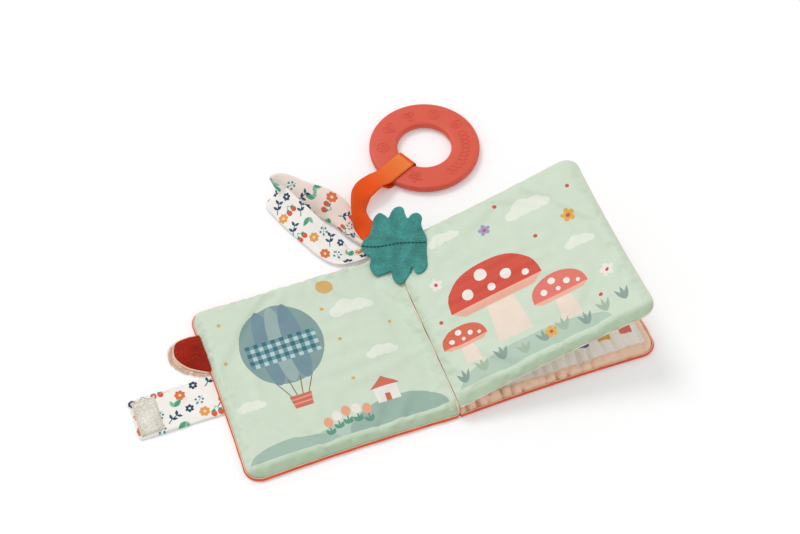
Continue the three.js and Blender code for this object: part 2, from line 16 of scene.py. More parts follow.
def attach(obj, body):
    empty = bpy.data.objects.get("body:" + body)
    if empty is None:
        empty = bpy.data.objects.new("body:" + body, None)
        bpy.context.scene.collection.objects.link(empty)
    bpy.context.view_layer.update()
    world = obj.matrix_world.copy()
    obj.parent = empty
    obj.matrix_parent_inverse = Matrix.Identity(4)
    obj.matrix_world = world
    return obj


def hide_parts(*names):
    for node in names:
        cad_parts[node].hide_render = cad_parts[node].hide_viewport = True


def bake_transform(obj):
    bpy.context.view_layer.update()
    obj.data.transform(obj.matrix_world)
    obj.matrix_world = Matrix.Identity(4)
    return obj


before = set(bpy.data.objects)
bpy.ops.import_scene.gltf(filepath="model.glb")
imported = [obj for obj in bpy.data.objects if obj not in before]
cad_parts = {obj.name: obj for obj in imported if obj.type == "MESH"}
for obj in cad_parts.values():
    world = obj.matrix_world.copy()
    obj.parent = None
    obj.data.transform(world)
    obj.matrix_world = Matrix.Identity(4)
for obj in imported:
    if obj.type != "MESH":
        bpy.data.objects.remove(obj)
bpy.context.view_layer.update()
scene = bpy.context.scene
mm = 0.001

# %% [markdown]
# The camera comes first. It stands at the photograph's angle: a long lens, high up, a little to
# the left of the spine.

# %% Camera
azimuth = math.radians(-20.786)
elevation = math.radians(54.74)
distance = 1184.5 * mm
aim = Vector((6.1 * mm, 60.9 * mm, 0))
back = Vector((math.sin(azimuth) * math.cos(elevation),
               -math.cos(azimuth) * math.cos(elevation), math.sin(elevation)))
right = Vector((math.cos(azimuth), math.sin(azimuth), 0))
roll = math.radians(0.29)
side_way = Matrix.Rotation(roll, 3, back) @ right
camera = bpy.data.objects.new("camera", bpy.data.cameras.new("camera"))
scene.collection.objects.link(camera)
camera.matrix_world = Matrix.Translation(aim + back * distance) @ Matrix(
    (side_way, back.cross(side_way), back)).transposed().to_4x4()
camera.data.lens = 72.0
camera.data.sensor_width = 36
scene.camera = camera
print("camera at", [round(v, 3) for v in camera.location])

# %% [markdown]
# The book lies on a plain white floor in soft studio light: an even sky and one broad lamp from
# behind on the left, so that shadows fall gently to the front right. The floor takes the shadow as
# a matt surface does. Its glow is there only for rays that see it straight or in a reflection, so
# it throws no light on the cloth.

# %% Shader helpers
def shader_tree(owner):
    """Gives a material or a world an empty node tree."""
    owner.use_nodes = True
    owner.node_tree.nodes.clear()
    return owner.node_tree

def add_node(tree, kind, inputs=None, **settings):
    """Adds a shader node. An input is a value, or another node's output, which is linked."""
    node = tree.nodes.new("ShaderNode" + kind)
    for key, value in settings.items():
        setattr(node, key, value)
    for socket, value in (inputs or {}).items():
        if isinstance(value, bpy.types.NodeSocket):
            tree.links.new(value, node.inputs[socket])
        else:
            node.inputs[socket].default_value = value
    return node

def add_math(tree, operation, a, b):
    return add_node(tree, "Math", {0: a, 1: b}, operation=operation).outputs[0]

def seen_directly(tree):
    """1 for a camera, mirror or see-through ray, and 0 for light that bounces off matt things."""
    rays = add_node(tree, "LightPath").outputs
    either = add_math(tree, "MAXIMUM", rays["Is Camera Ray"], rays["Is Glossy Ray"])
    return add_math(tree, "MAXIMUM", either, rays["Is Transmission Ray"])

# %% Floor, sky and lamp
floor_colour, floor_glow = (0.92, 0.92, 0.925, 1), 0.18
floor_reach, floor_drop = 6.0, 0.05
sky_strength, lamp_strength, lamp_width, lamp_tilt = 0.85, 0.85, 24, 33

floor_white = bpy.data.materials.new("floor white")
tree = shader_tree(floor_white)
matt = add_node(tree, "BsdfDiffuse", {"Color": floor_colour})
level = add_math(tree, "MULTIPLY", seen_directly(tree), floor_glow)
glow = add_node(tree, "Emission", {"Color": (1, 1, 1, 1), "Strength": level})
both = add_node(tree, "AddShader", {0: matt.outputs[0], 1: glow.outputs[0]})
add_node(tree, "OutputMaterial", {"Surface": both.outputs[0]})

floor_mesh = bpy.data.meshes.new("floor")
floor_mesh.from_pydata([(x * floor_reach, y * floor_reach, 0)
                        for x, y in ((-1, -1), (1, -1), (1, 1), (-1, 1))], [], [(0, 1, 2, 3)])
floor = bpy.data.objects.new("floor", floor_mesh)
floor.location.z = -floor_drop * mm
floor_mesh.materials.append(floor_white)
scene.collection.objects.link(floor)

world = bpy.data.worlds.new("soft sky")
scene.world = world
tree = shader_tree(world)
lighting = add_node(tree, "Background", {"Strength": sky_strength})
white = add_node(tree, "Background")
choose = add_node(tree, "MixShader", {0: seen_directly(tree), 1: lighting.outputs[0],
                                      2: white.outputs[0]})
add_node(tree, "OutputWorld", {"Surface": choose.outputs[0]})

lamp = bpy.data.objects.new("broad lamp", bpy.data.lights.new("broad lamp", "SUN"))
lamp.data.energy = lamp_strength
lamp.data.angle = math.radians(lamp_width)
tilt = math.radians(lamp_tilt)
travel = Vector((0.42 * math.sin(tilt), -0.91 * math.sin(tilt), -math.cos(tilt)))
lamp.rotation_mode = "QUATERNION"
lamp.rotation_quaternion = travel.to_track_quat("-Z", "Y")
scene.collection.objects.link(lamp)
scene.view_settings.view_transform = "Standard"
print("floor", 2 * floor_reach, "m across, sky and one lamp")

# %% [markdown]
# Every cloth here is matt and a little uneven: the dye is mottled, the threads throw tiny shadows
# and the pile of felt or velour catches light at its edge. One helper makes such a finish from a
# colour, or from the print painted on the mesh, and each cloth sets its own grain.

# %% Cloth finishes
def linear(hex_colour):
    out = []
    for place in (0, 2, 4):
        value = int(hex_colour[place:place + 2], 16) / 255
        out.append(value / 12.92 if value <= 0.04045 else ((value + 0.055) / 1.055) ** 2.4)
    return (*out, 1.0)

def finish(name, colour=None, roughness=0.8, grain=0.5, depth=0.1, mottle=0.06, sheen=0.0,
           coarse=0.0, ribs=None, specular=0.3, through=0.0):
    """A procedural finish. grain and coarse are sizes in mm, depth the bump's height in mm, ribs
    the spacing of woven ribs in mm along the mesh's u, through the share of light that enters,
    and a missing colour takes the painted print."""
    material = bpy.data.materials.new(name)
    tree = shader_tree(material)
    place = add_node(tree, "TexCoord").outputs["Object"]
    fine = add_node(tree, "TexNoise", {"Scale": 1000 / grain, "Detail": 3, "Vector": place})
    cloudy = add_node(tree, "TexNoise", {"Scale": 110, "Vector": place})
    uneven = add_math(tree, "MULTIPLY", fine.outputs["Fac"], cloudy.outputs["Fac"])
    ramp = add_node(tree, "MapRange", {"From Min": 0.1, "From Max": 0.4, "To Min": 1 - mottle,
                                       "To Max": 1 + mottle, "Value": uneven})
    grey = add_node(tree, "CombineColor", {channel: ramp.outputs[0]
                                           for channel in ("Red", "Green", "Blue")})
    dye = (linear(colour) if colour
           else add_node(tree, "VertexColor", layer_name="print").outputs["Color"])
    shade = add_node(tree, "Mix", {"Factor": 1.0, "A": dye, "B": grey.outputs[0]},
                     data_type="RGBA", blend_type="MULTIPLY")
    height = fine.outputs["Fac"]
    if coarse:
        lumps = add_node(tree, "TexVoronoi", {"Scale": 1000 / coarse, "Vector": place})
        height = add_math(tree, "SUBTRACT", height, lumps.outputs["Distance"])
    if ribs:
        woven = add_node(tree, "TexWave", {"Scale": 1000 / ribs / 3.14,
                                           "Vector": add_node(tree, "UVMap").outputs[0]})
        height = add_math(tree, "ADD", height, woven.outputs["Fac"])
    bump = add_node(tree, "Bump", {"Strength": 0.8, "Distance": depth * mm, "Height": height})
    shader = add_node(tree, "BsdfPrincipled", {
        "Base Color": shade.outputs["Result"], "Roughness": roughness,
        "Specular IOR Level": specular, "Sheen Weight": sheen, "Subsurface Weight": through,
        "Subsurface Radius": (0.004, 0.002, 0.001), "Normal": bump.outputs[0]})
    add_node(tree, "OutputMaterial", {"Surface": shader.outputs[0]})
    return material

mint_satin = finish("mint satin print", None, roughness=0.5, grain=0.7, depth=0.12, mottle=0.03)
cream_satin = finish("cream satin print", None, roughness=0.55, grain=0.7, depth=0.12, mottle=0.03)
red_velour = finish("orange red velour", "EA653B", roughness=0.95, grain=0.6, depth=0.4,
                    mottle=0.18, sheen=0.12)
cream_tape = finish("cream seam tape", "F0DFCB", roughness=0.85, grain=0.5, depth=0.2)
green_felt = finish("teal green felt", "43908A", roughness=1.0, grain=1.1, depth=0.8, mottle=0.32,
                    sheen=0.2, coarse=2.6)
dark_thread = finish("dark green thread", "1E5E50", roughness=0.7, grain=0.4, depth=0.2)
coral_silicone = finish("coral silicone", "E35A42", roughness=0.42, grain=2.5, depth=0.03,
                        mottle=0.02, specular=0.45, through=0.15)
orange_ribbon = finish("orange grosgrain", None, roughness=0.5, grain=0.8, depth=0.2,
                       mottle=0.05, ribs=0.9, specular=0.15)
floral_cotton = finish("floral cotton", None, roughness=0.85, grain=0.45, depth=0.12, mottle=0.04)
peach_cotton = finish("peach lining cotton", "F3CDB6", roughness=0.9, grain=0.45, depth=0.12)
hook_tape = finish("cream hook tape", "F3EFE2", roughness=0.4, grain=1.0, depth=0.7, mottle=0.2,
                   coarse=1.3, specular=0.5)
red_terry = finish("deep red terry", "A8240F", roughness=1.0, grain=0.9, depth=0.9, mottle=0.3,
                   sheen=0.02, coarse=1.4)
peach_plush = finish("peach plush", "FFE2C8", roughness=1.0, grain=0.8, depth=0.5, mottle=0.12,
                     sheen=0.3, coarse=1.8)
print("finishes", len(bpy.data.materials))

# %% [markdown]
# The pages are printed cloth. A print is a list of flat shapes, each an outline in millimetres and
# a colour. Leaves, discs and rounded shapes are enough for a balloon, toadstools, hills and
# clouds. The designs are plain stock ones of this book's own.

# %% Print shapes
def spot(x, y, across, up=None, colour="FFFFFF", turn=0.0, points=20):
    """An oval with half sizes across and up, turned by turn; a disc where up is missing."""
    up = across if up is None else up
    c, s = math.cos(turn), math.sin(turn)
    ring = [(2 * math.pi * k / points) for k in range(points)]
    return ([(x + across * math.cos(a) * c - up * math.sin(a) * s,
              y + across * math.cos(a) * s + up * math.sin(a) * c) for a in ring], colour)

def block(x0, y0, x1, y1, colour):
    """A rectangle between two opposite corners."""
    return ([(x0, y0), (x1, y0), (x1, y1), (x0, y1)], colour)

def leaf(x, y, length, width, degrees, colour, rib=None):
    turn = math.radians(degrees)
    outline = []
    steps = 7
    for k in range(2 * steps):
        t = k / steps if k <= steps else 2 - k / steps
        w = width / 2 * math.sin(math.pi * t ** 0.8) * (1 if k <= steps else -1)
        outline.append((x + length * t * math.cos(turn) - w * math.sin(turn),
                        y + length * t * math.sin(turn) + w * math.cos(turn)))
    shapes = [(outline, colour)]
    if rib:
        shapes.append(stripe([(x, y), (x + 0.8 * length * math.cos(turn),
                                       y + 0.8 * length * math.sin(turn))], 0.5, rib))
    return shapes

def stripe(line, width, colour):
    """A band of even width along a line of points."""
    left, other = [], []
    for k, (x, y) in enumerate(line):
        x0, y0 = line[max(k - 1, 0)]
        x1, y1 = line[min(k + 1, len(line) - 1)]
        size = math.hypot(x1 - x0, y1 - y0)
        nx, ny = -(y1 - y0) / size * width / 2, (x1 - x0) / size * width / 2
        left.append((x + nx, y + ny))
        other.append((x - nx, y - ny))
    return (left + other[::-1], colour)

def flower(x, y, size, petal, middle, count=5):
    out = []
    for k in range(count):
        a = 0.3 + 2 * math.pi * k / count
        out.append(spot(x + size * 0.55 * math.cos(a), y + size * 0.55 * math.sin(a),
                        size * 0.42, size * 0.34, petal, a, 10))
    out.append(spot(x, y, size * 0.27, None, middle, 0, 10))
    return out

def sprig(points, size, colours, stem):
    """A bent stem with leaves in pairs."""
    out = [stripe(points, 0.7, stem)]
    for k in range(1, len(points)):
        x, y = points[k]
        way = math.degrees(math.atan2(y - points[k - 1][1], x - points[k - 1][0]))
        out += leaf(x, y, size, size * 0.5, way + 52, colours[k % len(colours)], stem)
        out += leaf(x, y, size, size * 0.5, way - 52, colours[(k + 1) % len(colours)], stem)
    return out

def cloud(x, y, size):
    return [spot(x + dx * size, y + dy * size, r * size, 0.8 * r * size, "EDF2E4", 0, 18)
            for dx, dy, r in ((-0.62, 0, 0.34), (-0.16, 0.16, 0.48), (0.36, 0.1, 0.42),
                              (0.74, -0.02, 0.26))]

def hill(x, y, across, up, colour):
    return ([(x + across * math.cos(a), y + up * math.sin(a))
             for a in np.linspace(0, math.pi, 26)], colour)

def tulip(x, y, tall, petal):
    out = [stripe([(x, y), (x + 0.6, y + tall)], 0.9, "4F8C80")]
    for way in (58, 122):
        out += leaf(x, y, tall * 0.7, 3.4, way, "5E9B84")
    return out + [spot(x + 0.6, y + tall + 2, 3.2, 4.2, petal, 0, 14)]

def house(x, y, wide, wall, roof):
    half, eave, door = wide / 2, y + 0.7 * wide, 0.12 * wide
    return [block(x - half, y, x + half, eave, wall),
            ([(x - 1.25 * half, eave), (x + 1.25 * half, eave), (x, y + 1.2 * wide)], roof),
            block(x - door, y, x + door, y + 3 * door, roof)]

# %% Page designs
mint, peach = "D6E5D0", "FFD8BC"
print_x, print_y = 153, 73

def painted_foot_shade(side):
    """Painted shade: a deeper mint along the foot where the page turns down, shaded off in three
    steps, which deepens the real shade of the turned-down side. Prints run to print_x and print_y,
    just past the page's edges."""
    return [block(0, -print_y, side * print_x, y, tone)
            for y, tone in ((-64.5, "D0E0C9"), (-66.0, "C8DBC0"), (-67.5, "BFD4B6"))]

def balloon_page():
    """Front cover's inner page: a gingham balloon over hills with a house, tulips and clouds."""
    # The page starts with the painted shade along its foot.
    out = painted_foot_shade(-1)
    grey, gold, clay = "86A3A0", "DDB36A", "D5705A"
    x, y = -98, 22
    out.append(spot(x, y, 30, 33, grey, 0, 40))
    for k, shade in ((-18, "7593A0"), (0, "9DB5B2"), (18, "7593A0")):
        out.append(spot(x + k * 0.55, y, 7.5, 32.2, shade, 0, 30))
    cell = 3.2
    for i in range(-8, 8):
        for j in range(-3, 3):
            if abs(i + 0.5) * cell < 25.5:
                tone = ("35707A", "6E9AA3", "C3D5D4")[(i % 2) + (j % 2)]
                x0, y0 = x + i * cell, y - 4 + j * cell
                out.append(block(x0, y0, x0 + cell, y0 + cell, tone))
    for dx in (-9, -3, 3, 9):
        out.append(stripe([(x + dx * 1.5, y - 29), (x + dx * 0.7, y - 43)], 0.7, "8B6B52"))
    out.append(([(x - 8, y - 43), (x + 8, y - 43), (x + 6.4, y - 53), (x - 6.4, y - 53)], clay))
    for reach, down in ((7.6, 46), (7, 49.5)):
        out.append(stripe([(x - reach, y - down), (x + reach, y - down)], 1.1, "E9A58C"))
    for place in ((-42, 34, 17), (-34, -8, 12), (-134, -20, 11)):
        out += cloud(*place)
    out.append(spot(-54, 58, 6.5, None, gold, 0, 24))
    for x, across, up, tone in ((-70, 34, 13, "B9CFC0"), (-40, 36, 20, "9DB9AB"),
                                (-116, 32, 11, "A9C3B4")):
        out.append(hill(x, -64, across, up, tone))
    out += house(-42, -47, 17, "F4EFE6", clay)
    for k in range(5):
        out += tulip(-88 + 7 * k, -60 + 5 * math.sin(0.7 * k), 9, ("F0A98A", "F4EFE6")[k % 2])
    for px, py in ((-58, 12), (-62, 40), (-20, 14), (-140, 20), (-136, 52), (-60, -22)):
        out.append(spot(px, py, 1.5, None, gold, 0, 10))
    return out

def toadstool(x, y, size, cap="D9503C"):
    out = [([(x - 0.16 * size, y), (x + 0.16 * size, y), (x + 0.22 * size, y - 0.62 * size),
             (x - 0.22 * size, y - 0.62 * size)], "F6E3D3")]
    dome = [(x + 0.6 * size * math.cos(a), y + 0.5 * size * math.sin(a) ** 0.8)
            for a in np.linspace(0, math.pi, 22)]
    out.append((dome, cap))
    out.append(([(x - 0.6 * size, y + 0.01), (x + 0.6 * size, y + 0.01),
                 (x + 0.45 * size, y - 0.1 * size), (x - 0.45 * size, y - 0.1 * size)], "F3B79F"))
    for px, py, r in ((-0.32, 0.16, 0.07), (-0.08, 0.34, 0.08), (0.2, 0.2, 0.07),
                      (0.42, 0.1, 0.045), (-0.02, 0.12, 0.05)):
        out.append(spot(x + px * size, y + py * size, r * size, None, "FBF4EA", 0, 14))
    return out

def toadstool_page():
    """The leaf's upper page: toadstools in the grass under clouds, with daisies and berries."""
    # The page starts with the painted shade along its foot.
    out = painted_foot_shade(1)
    grey, pale = "8FA79C", "A9BFA8"
    out.append(hill(64, -63, 58, 16, "BBD0BE"))
    out += toadstool(58, -6, 58)
    out += toadstool(98, -28, 34, "E8796A")
    out += toadstool(24, -30, 28, "DE6A4E")
    for k in range(9):
        for way in (62, 90, 118):
            out += leaf(12 + 15.5 * k, -60 + 2 * (k % 3), 11, 3, way, (grey, pale)[k % 2])
    for place in ((104, 46, 18), (40, 54, 13), (126, 2, 12)):
        out += cloud(*place)
    for x, y, size, petal in ((128, 26, 6, "E9B04C"), (70, 46, 5, "A79BC4"),
                              (22, 22, 5.5, "F4EFE6"), (134, -28, 6, "F4EFE6"),
                              (80, -52, 5, "E9B04C")):
        out += flower(x, y, size, petal, "C25B46")
    for x, y in ((14, 44), (100, 22), (138, 48), (14, -8), (122, -44), (84, 60)):
        out.append(spot(x, y, 1.6, None, "C9573F", 0, 10))
    return out

def fruit_page():
    """The back cover's inner page: a peach border and rows of fruit, blocks and stripes."""
    border_x, border_y = 145, -65.5
    out = [block(0, -print_y, print_x, border_y, peach),
           block(border_x, border_y, print_x, print_y, peach)]
    for k in range(8):
        x = 12 + 17 * k
        tone = ("D9503C", "7D6BB0", "E9B04C", "E8796A")[k % 4]
        out.append(([(x, -54), (x + 9, -55), (x + 10, -44), (x + 1, -43)], tone))
        out.append(spot(x + 5, -30, 4.6, 4.2, ("E8796A", "4F8C80", "A79BC4")[k % 3], 0, 16))
        out += leaf(x + 5, -26, 5, 2.6, 70, "5E9B84")
    for k in range(6):
        out.append(stripe([(16, -12 + 12 * k), (132, -12 + 12 * k)], 2.2,
                          ("F0D5C0", "E3EBDD")[k % 2]))
    return out

def little_flowers(width, length, seed, spacing=8.6):
    """A small all-over floral for the cotton strips, scattered at an even distance."""
    rng = random.Random(seed)
    placed, out = [], []
    for _ in range(900):
        x, y = rng.uniform(2, width - 2), rng.uniform(2, length - 2)
        if all((x - a) ** 2 + (y - b) ** 2 > spacing ** 2 for a, b in placed):
            placed.append((x, y))
    for k, (x, y) in enumerate(placed):
        kind, way = k % 6, rng.uniform(0, 360)
        if kind == 0:
            out += flower(x, y, 4.2, rng.choice(["F0A35A", "E9784A"]), "FBE9B4", 7)
        elif kind == 1:
            out += sprig([(x - 4, y - 3), (x - 1, y), (x + 3, y + 2)], 4.4, ["2F4C6B", "3E6E86"],
                         "2F4C6B")
        elif kind == 2:
            out += leaf(x, y, 8, 4, way, "5FB08C", "3F8A70")
            out += leaf(x, y, 6, 3, way + 70, "8CC3A4")
        elif kind == 3:
            for dx in (-2.4, 2.4):
                out.append(spot(x + dx, y, 2.1, 2.6, "E0654C", 0.2, 12))
                out.append(spot(x + dx, y + 2.3, 1.7, 0.9, "4E9B74", 0.2, 10))
                out.append(stripe([(x + dx, y + 2.5), (x, y + 5.5)], 0.5, "4E9B74"))
        elif kind == 4:
            for a in range(5):
                out.append(spot(x + 2.6 * math.cos(a * 1.3), y + 2.6 * math.sin(a * 1.3), 0.95,
                                None, "4A8FA0", 0, 8))
            out.append(stripe([(x - 3, y - 3), (x + 3, y + 3)], 0.4, "4A8FA0"))
        else:
            out += flower(x, y, 3.4, "2F4C6B", "F4EFE6", 6)
    return out

# %% [markdown]
# A printed sheet is cut flat, as a tailor does, and then laid on its curved surface. The flat cut
# is a fine triangle mesh whose edges follow every printed outline, so the colours stay crisp, and
# each triangle takes the colour of the topmost shape over it.

# %% Mesh helpers
def smooth_mesh(name, points, faces):
    """A smooth shaded mesh from points in metres."""
    mesh = bpy.data.meshes.new(name)
    mesh.from_pydata(np.reshape(points, (-1, 3)).tolist(), [], faces)
    mesh.polygons.foreach_set("use_smooth", [True] * len(mesh.polygons))
    return mesh

def grid_faces(index, flip=False):
    """Quads over a grid of vertex numbers."""
    quads = np.stack([index[:-1, :-1], index[1:, :-1], index[1:, 1:], index[:-1, 1:]], -1)
    return (quads[..., [0, 3, 2, 1]] if flip else quads).reshape(-1, 4).tolist()

def unit(ways):
    return ways / np.maximum(np.linalg.norm(ways, axis=-1, keepdims=True), 1e-9)

# %% Cut a printed sheet
def clipped(outline, axis, side, edge):
    """The part of an outline on one side of a straight cut; side 1 keeps what lies above it."""
    out = []
    for k, point in enumerate(outline):
        before = outline[k - 1]
        a, b = side * (before[axis] - edge), side * (point[axis] - edge)
        if a * b < 0:
            t = a / (a - b)
            out.append(tuple(p + t * (q - p) for p, q in zip(before, point)))
        if b >= 0:
            out.append(tuple(point))
    return out

def lattice(low, high, step):
    nx = max(2, round((high[0] - low[0]) / step))
    ny = max(2, round((high[1] - low[1]) / step))
    return [(low[0] + (high[0] - low[0]) * i / nx, low[1] + (high[1] - low[1]) * j / ny)
            for j in range(ny + 1) for i in range(nx + 1)]

def with_points(outline, step):
    """Adds points along an outline's long sides, so that they follow the cloth's folds."""
    out = []
    for a, b in zip(outline, outline[1:] + outline[:1]):
        count = max(1, math.ceil(math.dist(a, b) / step))
        out += [tuple(p + (q - p) * k / count for p, q in zip(a, b)) for k in range(count)]
    return out

def printed_mesh(name, low, high, step, shapes, ground, surface, cut=None, rim=0.0,
                 crease=None):
    """low and high are the flat cut's corners in mm, surface maps flat points to metres, and cut
    is the sheet's outline where it isn't a rectangle. Within rim mm of the border the mesh is
    finer, and its edges follow crease, a straight line across the sheet."""
    shapes = shapes if cut is None else [(cut, ground)] + shapes
    def inside(x, y):
        return min(x - low[0], high[0] - x, y - low[1], high[1] - y)
    points = [Vector(p) for p in lattice(low, high, step) if not rim or inside(*p) > rim]
    if rim:
        points += [Vector(p) for p in lattice(low, high, step * 0.42) if inside(*p) <= rim]
    faces, colours = [], [linear(ground)]
    for outline, colour in shapes:
        for axis in (0, 1):
            outline = clipped(outline, axis, 1, low[axis]) if outline else outline
            outline = clipped(outline, axis, -1, high[axis]) if outline else outline
        area = sum(a[0] * b[1] - b[0] * a[1] for a, b in zip(outline, outline[1:] + outline[:1]))
        if abs(area) < 0.02:
            continue
        outline = with_points(outline if area > 0 else outline[::-1], step * 0.5)
        faces.append(list(range(len(points), len(points) + len(outline))))
        points += [Vector(p) for p in outline]
        colours.append(linear(colour))
    edges = []
    if crease:
        first, last = Vector(crease[0]), Vector(crease[1])
        count = math.ceil((last - first).length / step)
        edges = [(len(points) + k, len(points) + k + 1) for k in range(count)]
        points += [first.lerp(last, k / count) for k in range(count + 1)]
    verts, _, tris, _, _, owners = delaunay_2d_cdt(points, edges, faces, 0, 1e-5)
    flat = np.array([v[:] for v in verts])
    kept = [(t, o) for t, o in zip(tris, owners) if cut is None or 0 in o]
    mesh = smooth_mesh(name, surface(flat), [list(t) for t, _ in kept])
    paint = mesh.color_attributes.new("print", "FLOAT_COLOR", "CORNER")
    tints = np.array([colours[max(o) + 1] if len(o) else colours[0] for _, o in kept])
    paint.data.foreach_set("color", np.repeat(tints, 3, axis=0).astype(np.float32).ravel())
    layer = mesh.uv_layers.new(name="flat")
    corners = np.zeros(len(mesh.loops), dtype=np.int32)
    mesh.loops.foreach_get("vertex_index", corners)
    layer.data.foreach_set("uv", (flat[corners] * mm).astype(np.float32).ravel())
    return mesh

def place_piece(name, mesh, *finishes, slot=None):
    """Puts a mesh in the scene with its finishes. slot is not used."""
    piece = bpy.data.objects.new(name, mesh)
    scene.collection.objects.link(piece)
    for material in finishes:
        mesh.materials.append(material)
    return piece

def thicken(piece, thickness, offset=0.0):
    skin = piece.modifiers.new("thickness", "SOLIDIFY")
    skin.thickness = thickness * mm
    skin.offset = offset
    skin.use_even_offset = False

def halves(piece, low_name, high_name, edge):
    """Cuts a thickened piece in two where x is edge mm, closes each half at the cut, and keeps the
    shading across it."""
    whole = bpy.data.meshes.new_from_object(
        piece.evaluated_get(bpy.context.evaluated_depsgraph_get()))
    def read(items, key, size, kind=np.float32):
        out = np.zeros(len(items) * size, dtype=kind)
        items.foreach_get(key, out)
        return out.reshape(-1, size) if size > 1 else out
    places = read(whole.vertices, "co", 3)
    loops = read(whole.loops, "vertex_index", 1, np.int32)
    normals = read(whole.corner_normals, "vector", 3)
    tints = read(whole.color_attributes["print"].data, "color", 4)
    flats = read(whole.uv_layers["flat"].data, "uv", 2)
    out = []
    for name, side in ((low_name, -1), (high_name, 1)):
        faces = [p for p in whole.polygons
                 if side * (flats[p.loop_start:p.loop_start + p.loop_total, 0].mean()
                            - edge * mm) > 0]
        kept = [k for p in faces for k in p.loop_indices]
        used, index = np.unique(loops[kept], return_inverse=True)
        rows, at = [], 0
        for p in faces:
            rows.append(index[at:at + p.loop_total].tolist())
            at += p.loop_total
        ways = {(a, b) for row in rows for a, b in zip(row, row[1:] + row[:1])}
        place_of = {v: k for k, v in enumerate(used.tolist())}
        layer = len(piece.data.vertices)
        lid = [[b, a, place_of[used[a] + layer], place_of[used[b] + layer]]
               for row in rows for a, b in zip(row, row[1:] + row[:1])
               if (b, a) not in ways and used[a] < layer and used[b] < layer]
        corner_of = dict(zip(index.tolist(), kept))
        kept += [corner_of[v] for quad in lid for v in quad]
        mesh = smooth_mesh(name, places[used], rows + lid)
        mesh.color_attributes.new("print", "FLOAT_COLOR", "CORNER").data.foreach_set(
            "color", tints[kept].ravel())
        mesh.uv_layers.new(name="flat").data.foreach_set("uv", flats[kept].ravel())
        mesh.normals_split_custom_set(normals[kept].tolist())
        out.append(place_piece(name, mesh, *piece.data.materials))
    bpy.data.objects.remove(piece)
    return out

# %% [markdown]
# A padded page is two cloths sewn together round their edge with wadding and crackling film
# between them. The seam is shorter than the cloth, so the cloth puckers along it and ripples where
# it is gathered at the gutter. Each face starts from the CAD pad's shape, and a cloth simulation
# with the seam held and the cloth grown a little makes the puckers. The middle is held softly.

# %% The page's flat plan and its faces
page_width, half_height, corner, draw_in = 152.0, 72.5, 12.0, 1.5
grid_across, grid_up = 64, 62

def page_plan(u, v, root, grow=0.0):
    """Places on the page's outline, in mm, for shares u from the gutter and v from the foot."""
    wide, half = page_width + grow, half_height + grow
    x = root + u * (wide - root)
    y = (2 * v - 1) * half
    a = np.clip((x - (wide - corner)) / corner, 0, 1)
    b = np.clip((np.abs(y) - (half - corner)) / corner, 0, 1)
    x = x - corner * a * (1 - np.sqrt(1 - b * b / 2))
    y = y - np.sign(y) * corner * b * (1 - np.sqrt(1 - a * a / 2))
    x = x - draw_in * 4 * v * (1 - v) * u ** 8
    y = y - np.sign(y) * draw_in * 4 * u * (1 - u) * np.abs(2 * v - 1) ** 8
    return x, y

def seam_distance(u, v, root):
    """How far a point is from the fore edge, from the head or foot, and from the gutter."""
    across = (1 - u) * (page_width - root)
    up = (0.5 - np.abs(v - 0.5)) * 2 * half_height
    return across, up, u * (page_width - root)

def swell(distance, soft):
    """Rises from 0 at the seam to 1: a firm shoulder about twice soft wide, then flat."""
    return 1 - np.clip(1 - distance / (1.9 * soft), 0, 1) ** 2

def pucker(u, v, root, seed):
    """Small waves square to the seam, which start the simulation's folds."""
    across, up, gutter = seam_distance(u, v, root)
    rng = random.Random(seed)
    out = 0
    for distance, along, near in ((up, u * page_width, 7.0), (across, v * 145, 5.0),
                                  (gutter, v * 145, 12.0)):
        wave = 0
        for k in range(5):
            wave = wave + rng.uniform(0.5, 1) * np.sin(
                along * 2 * math.pi / rng.uniform(7, 15) + rng.uniform(0, 6.3))
        out = out + wave * 0.12 * np.exp(-distance / near) * swell(distance, 1.2)
    return out

def upper_face(u, v, root, seam, top, lip=None, seed=1):
    across, up, gutter = seam_distance(u, v, root)
    x, y = page_plan(u, v, root)
    z = seam + (top - seam) * swell(across, 3.4) * swell(up, 3.0) * swell(gutter, 4)
    if lip is not None:
        share = np.exp(-(gutter / 5) ** 2) * swell(up, 5)
        z = z * (1 - share) + lip * share
    return x, y, z + pucker(u, v, root, seed)

# %% Let the cloth settle
cloth_scale, cloth_steps, cloth_cap = 10, 20, 0.9

def settle(name, x, y, z, growth, soft_hold):
    """Runs the cloth at ten times its size and returns the settled grid in mm. growth is the
    cloth's share of extra length and soft_hold how firmly its middle is held. No point moves
    more than cloth_cap."""
    start = np.stack([x, y, z], axis=-1)
    rows, columns = start.shape[:2]
    index = np.arange(rows * columns).reshape(rows, columns)
    pad = bpy.data.objects.new(name, smooth_mesh(name, start * mm * cloth_scale,
                                                 grid_faces(index)))
    scene.collection.objects.link(pad)
    border = np.zeros((rows, columns), bool)
    border[[0, -1], :] = border[:, [0, -1]] = True
    held = pad.vertex_groups.new(name="held")
    held.add(index[border].tolist(), 1.0, "REPLACE")
    held.add(index[~border].tolist(), soft_hold, "REPLACE")
    cloth = pad.modifiers.new("cloth", "CLOTH")
    for key, value in (("quality", 5), ("mass", 0.3), ("tension_stiffness", 12),
                       ("compression_stiffness", 12), ("bending_stiffness", 0.35),
                       ("shrink_min", -growth), ("vertex_group_mass", "held"),
                       ("pin_stiffness", 1.0)):
        setattr(cloth.settings, key, value)
    cloth.settings.effector_weights.gravity = 0
    cloth.collision_settings.use_collision = False
    for step in range(1, cloth_steps + 1):
        scene.frame_set(step)
    settled = pad.evaluated_get(bpy.context.evaluated_depsgraph_get())
    found = np.array([v.co for v in settled.data.vertices]).reshape(start.shape)
    move = found / mm / cloth_scale - start
    bpy.data.objects.remove(pad)
    scene.frame_set(1)
    size = np.linalg.norm(move, axis=-1, keepdims=True)
    print(name, "settled, largest move", round(float(size.max()), 2), "mm")
    return start + move * np.minimum(1, cloth_cap / np.maximum(size, 1e-6))

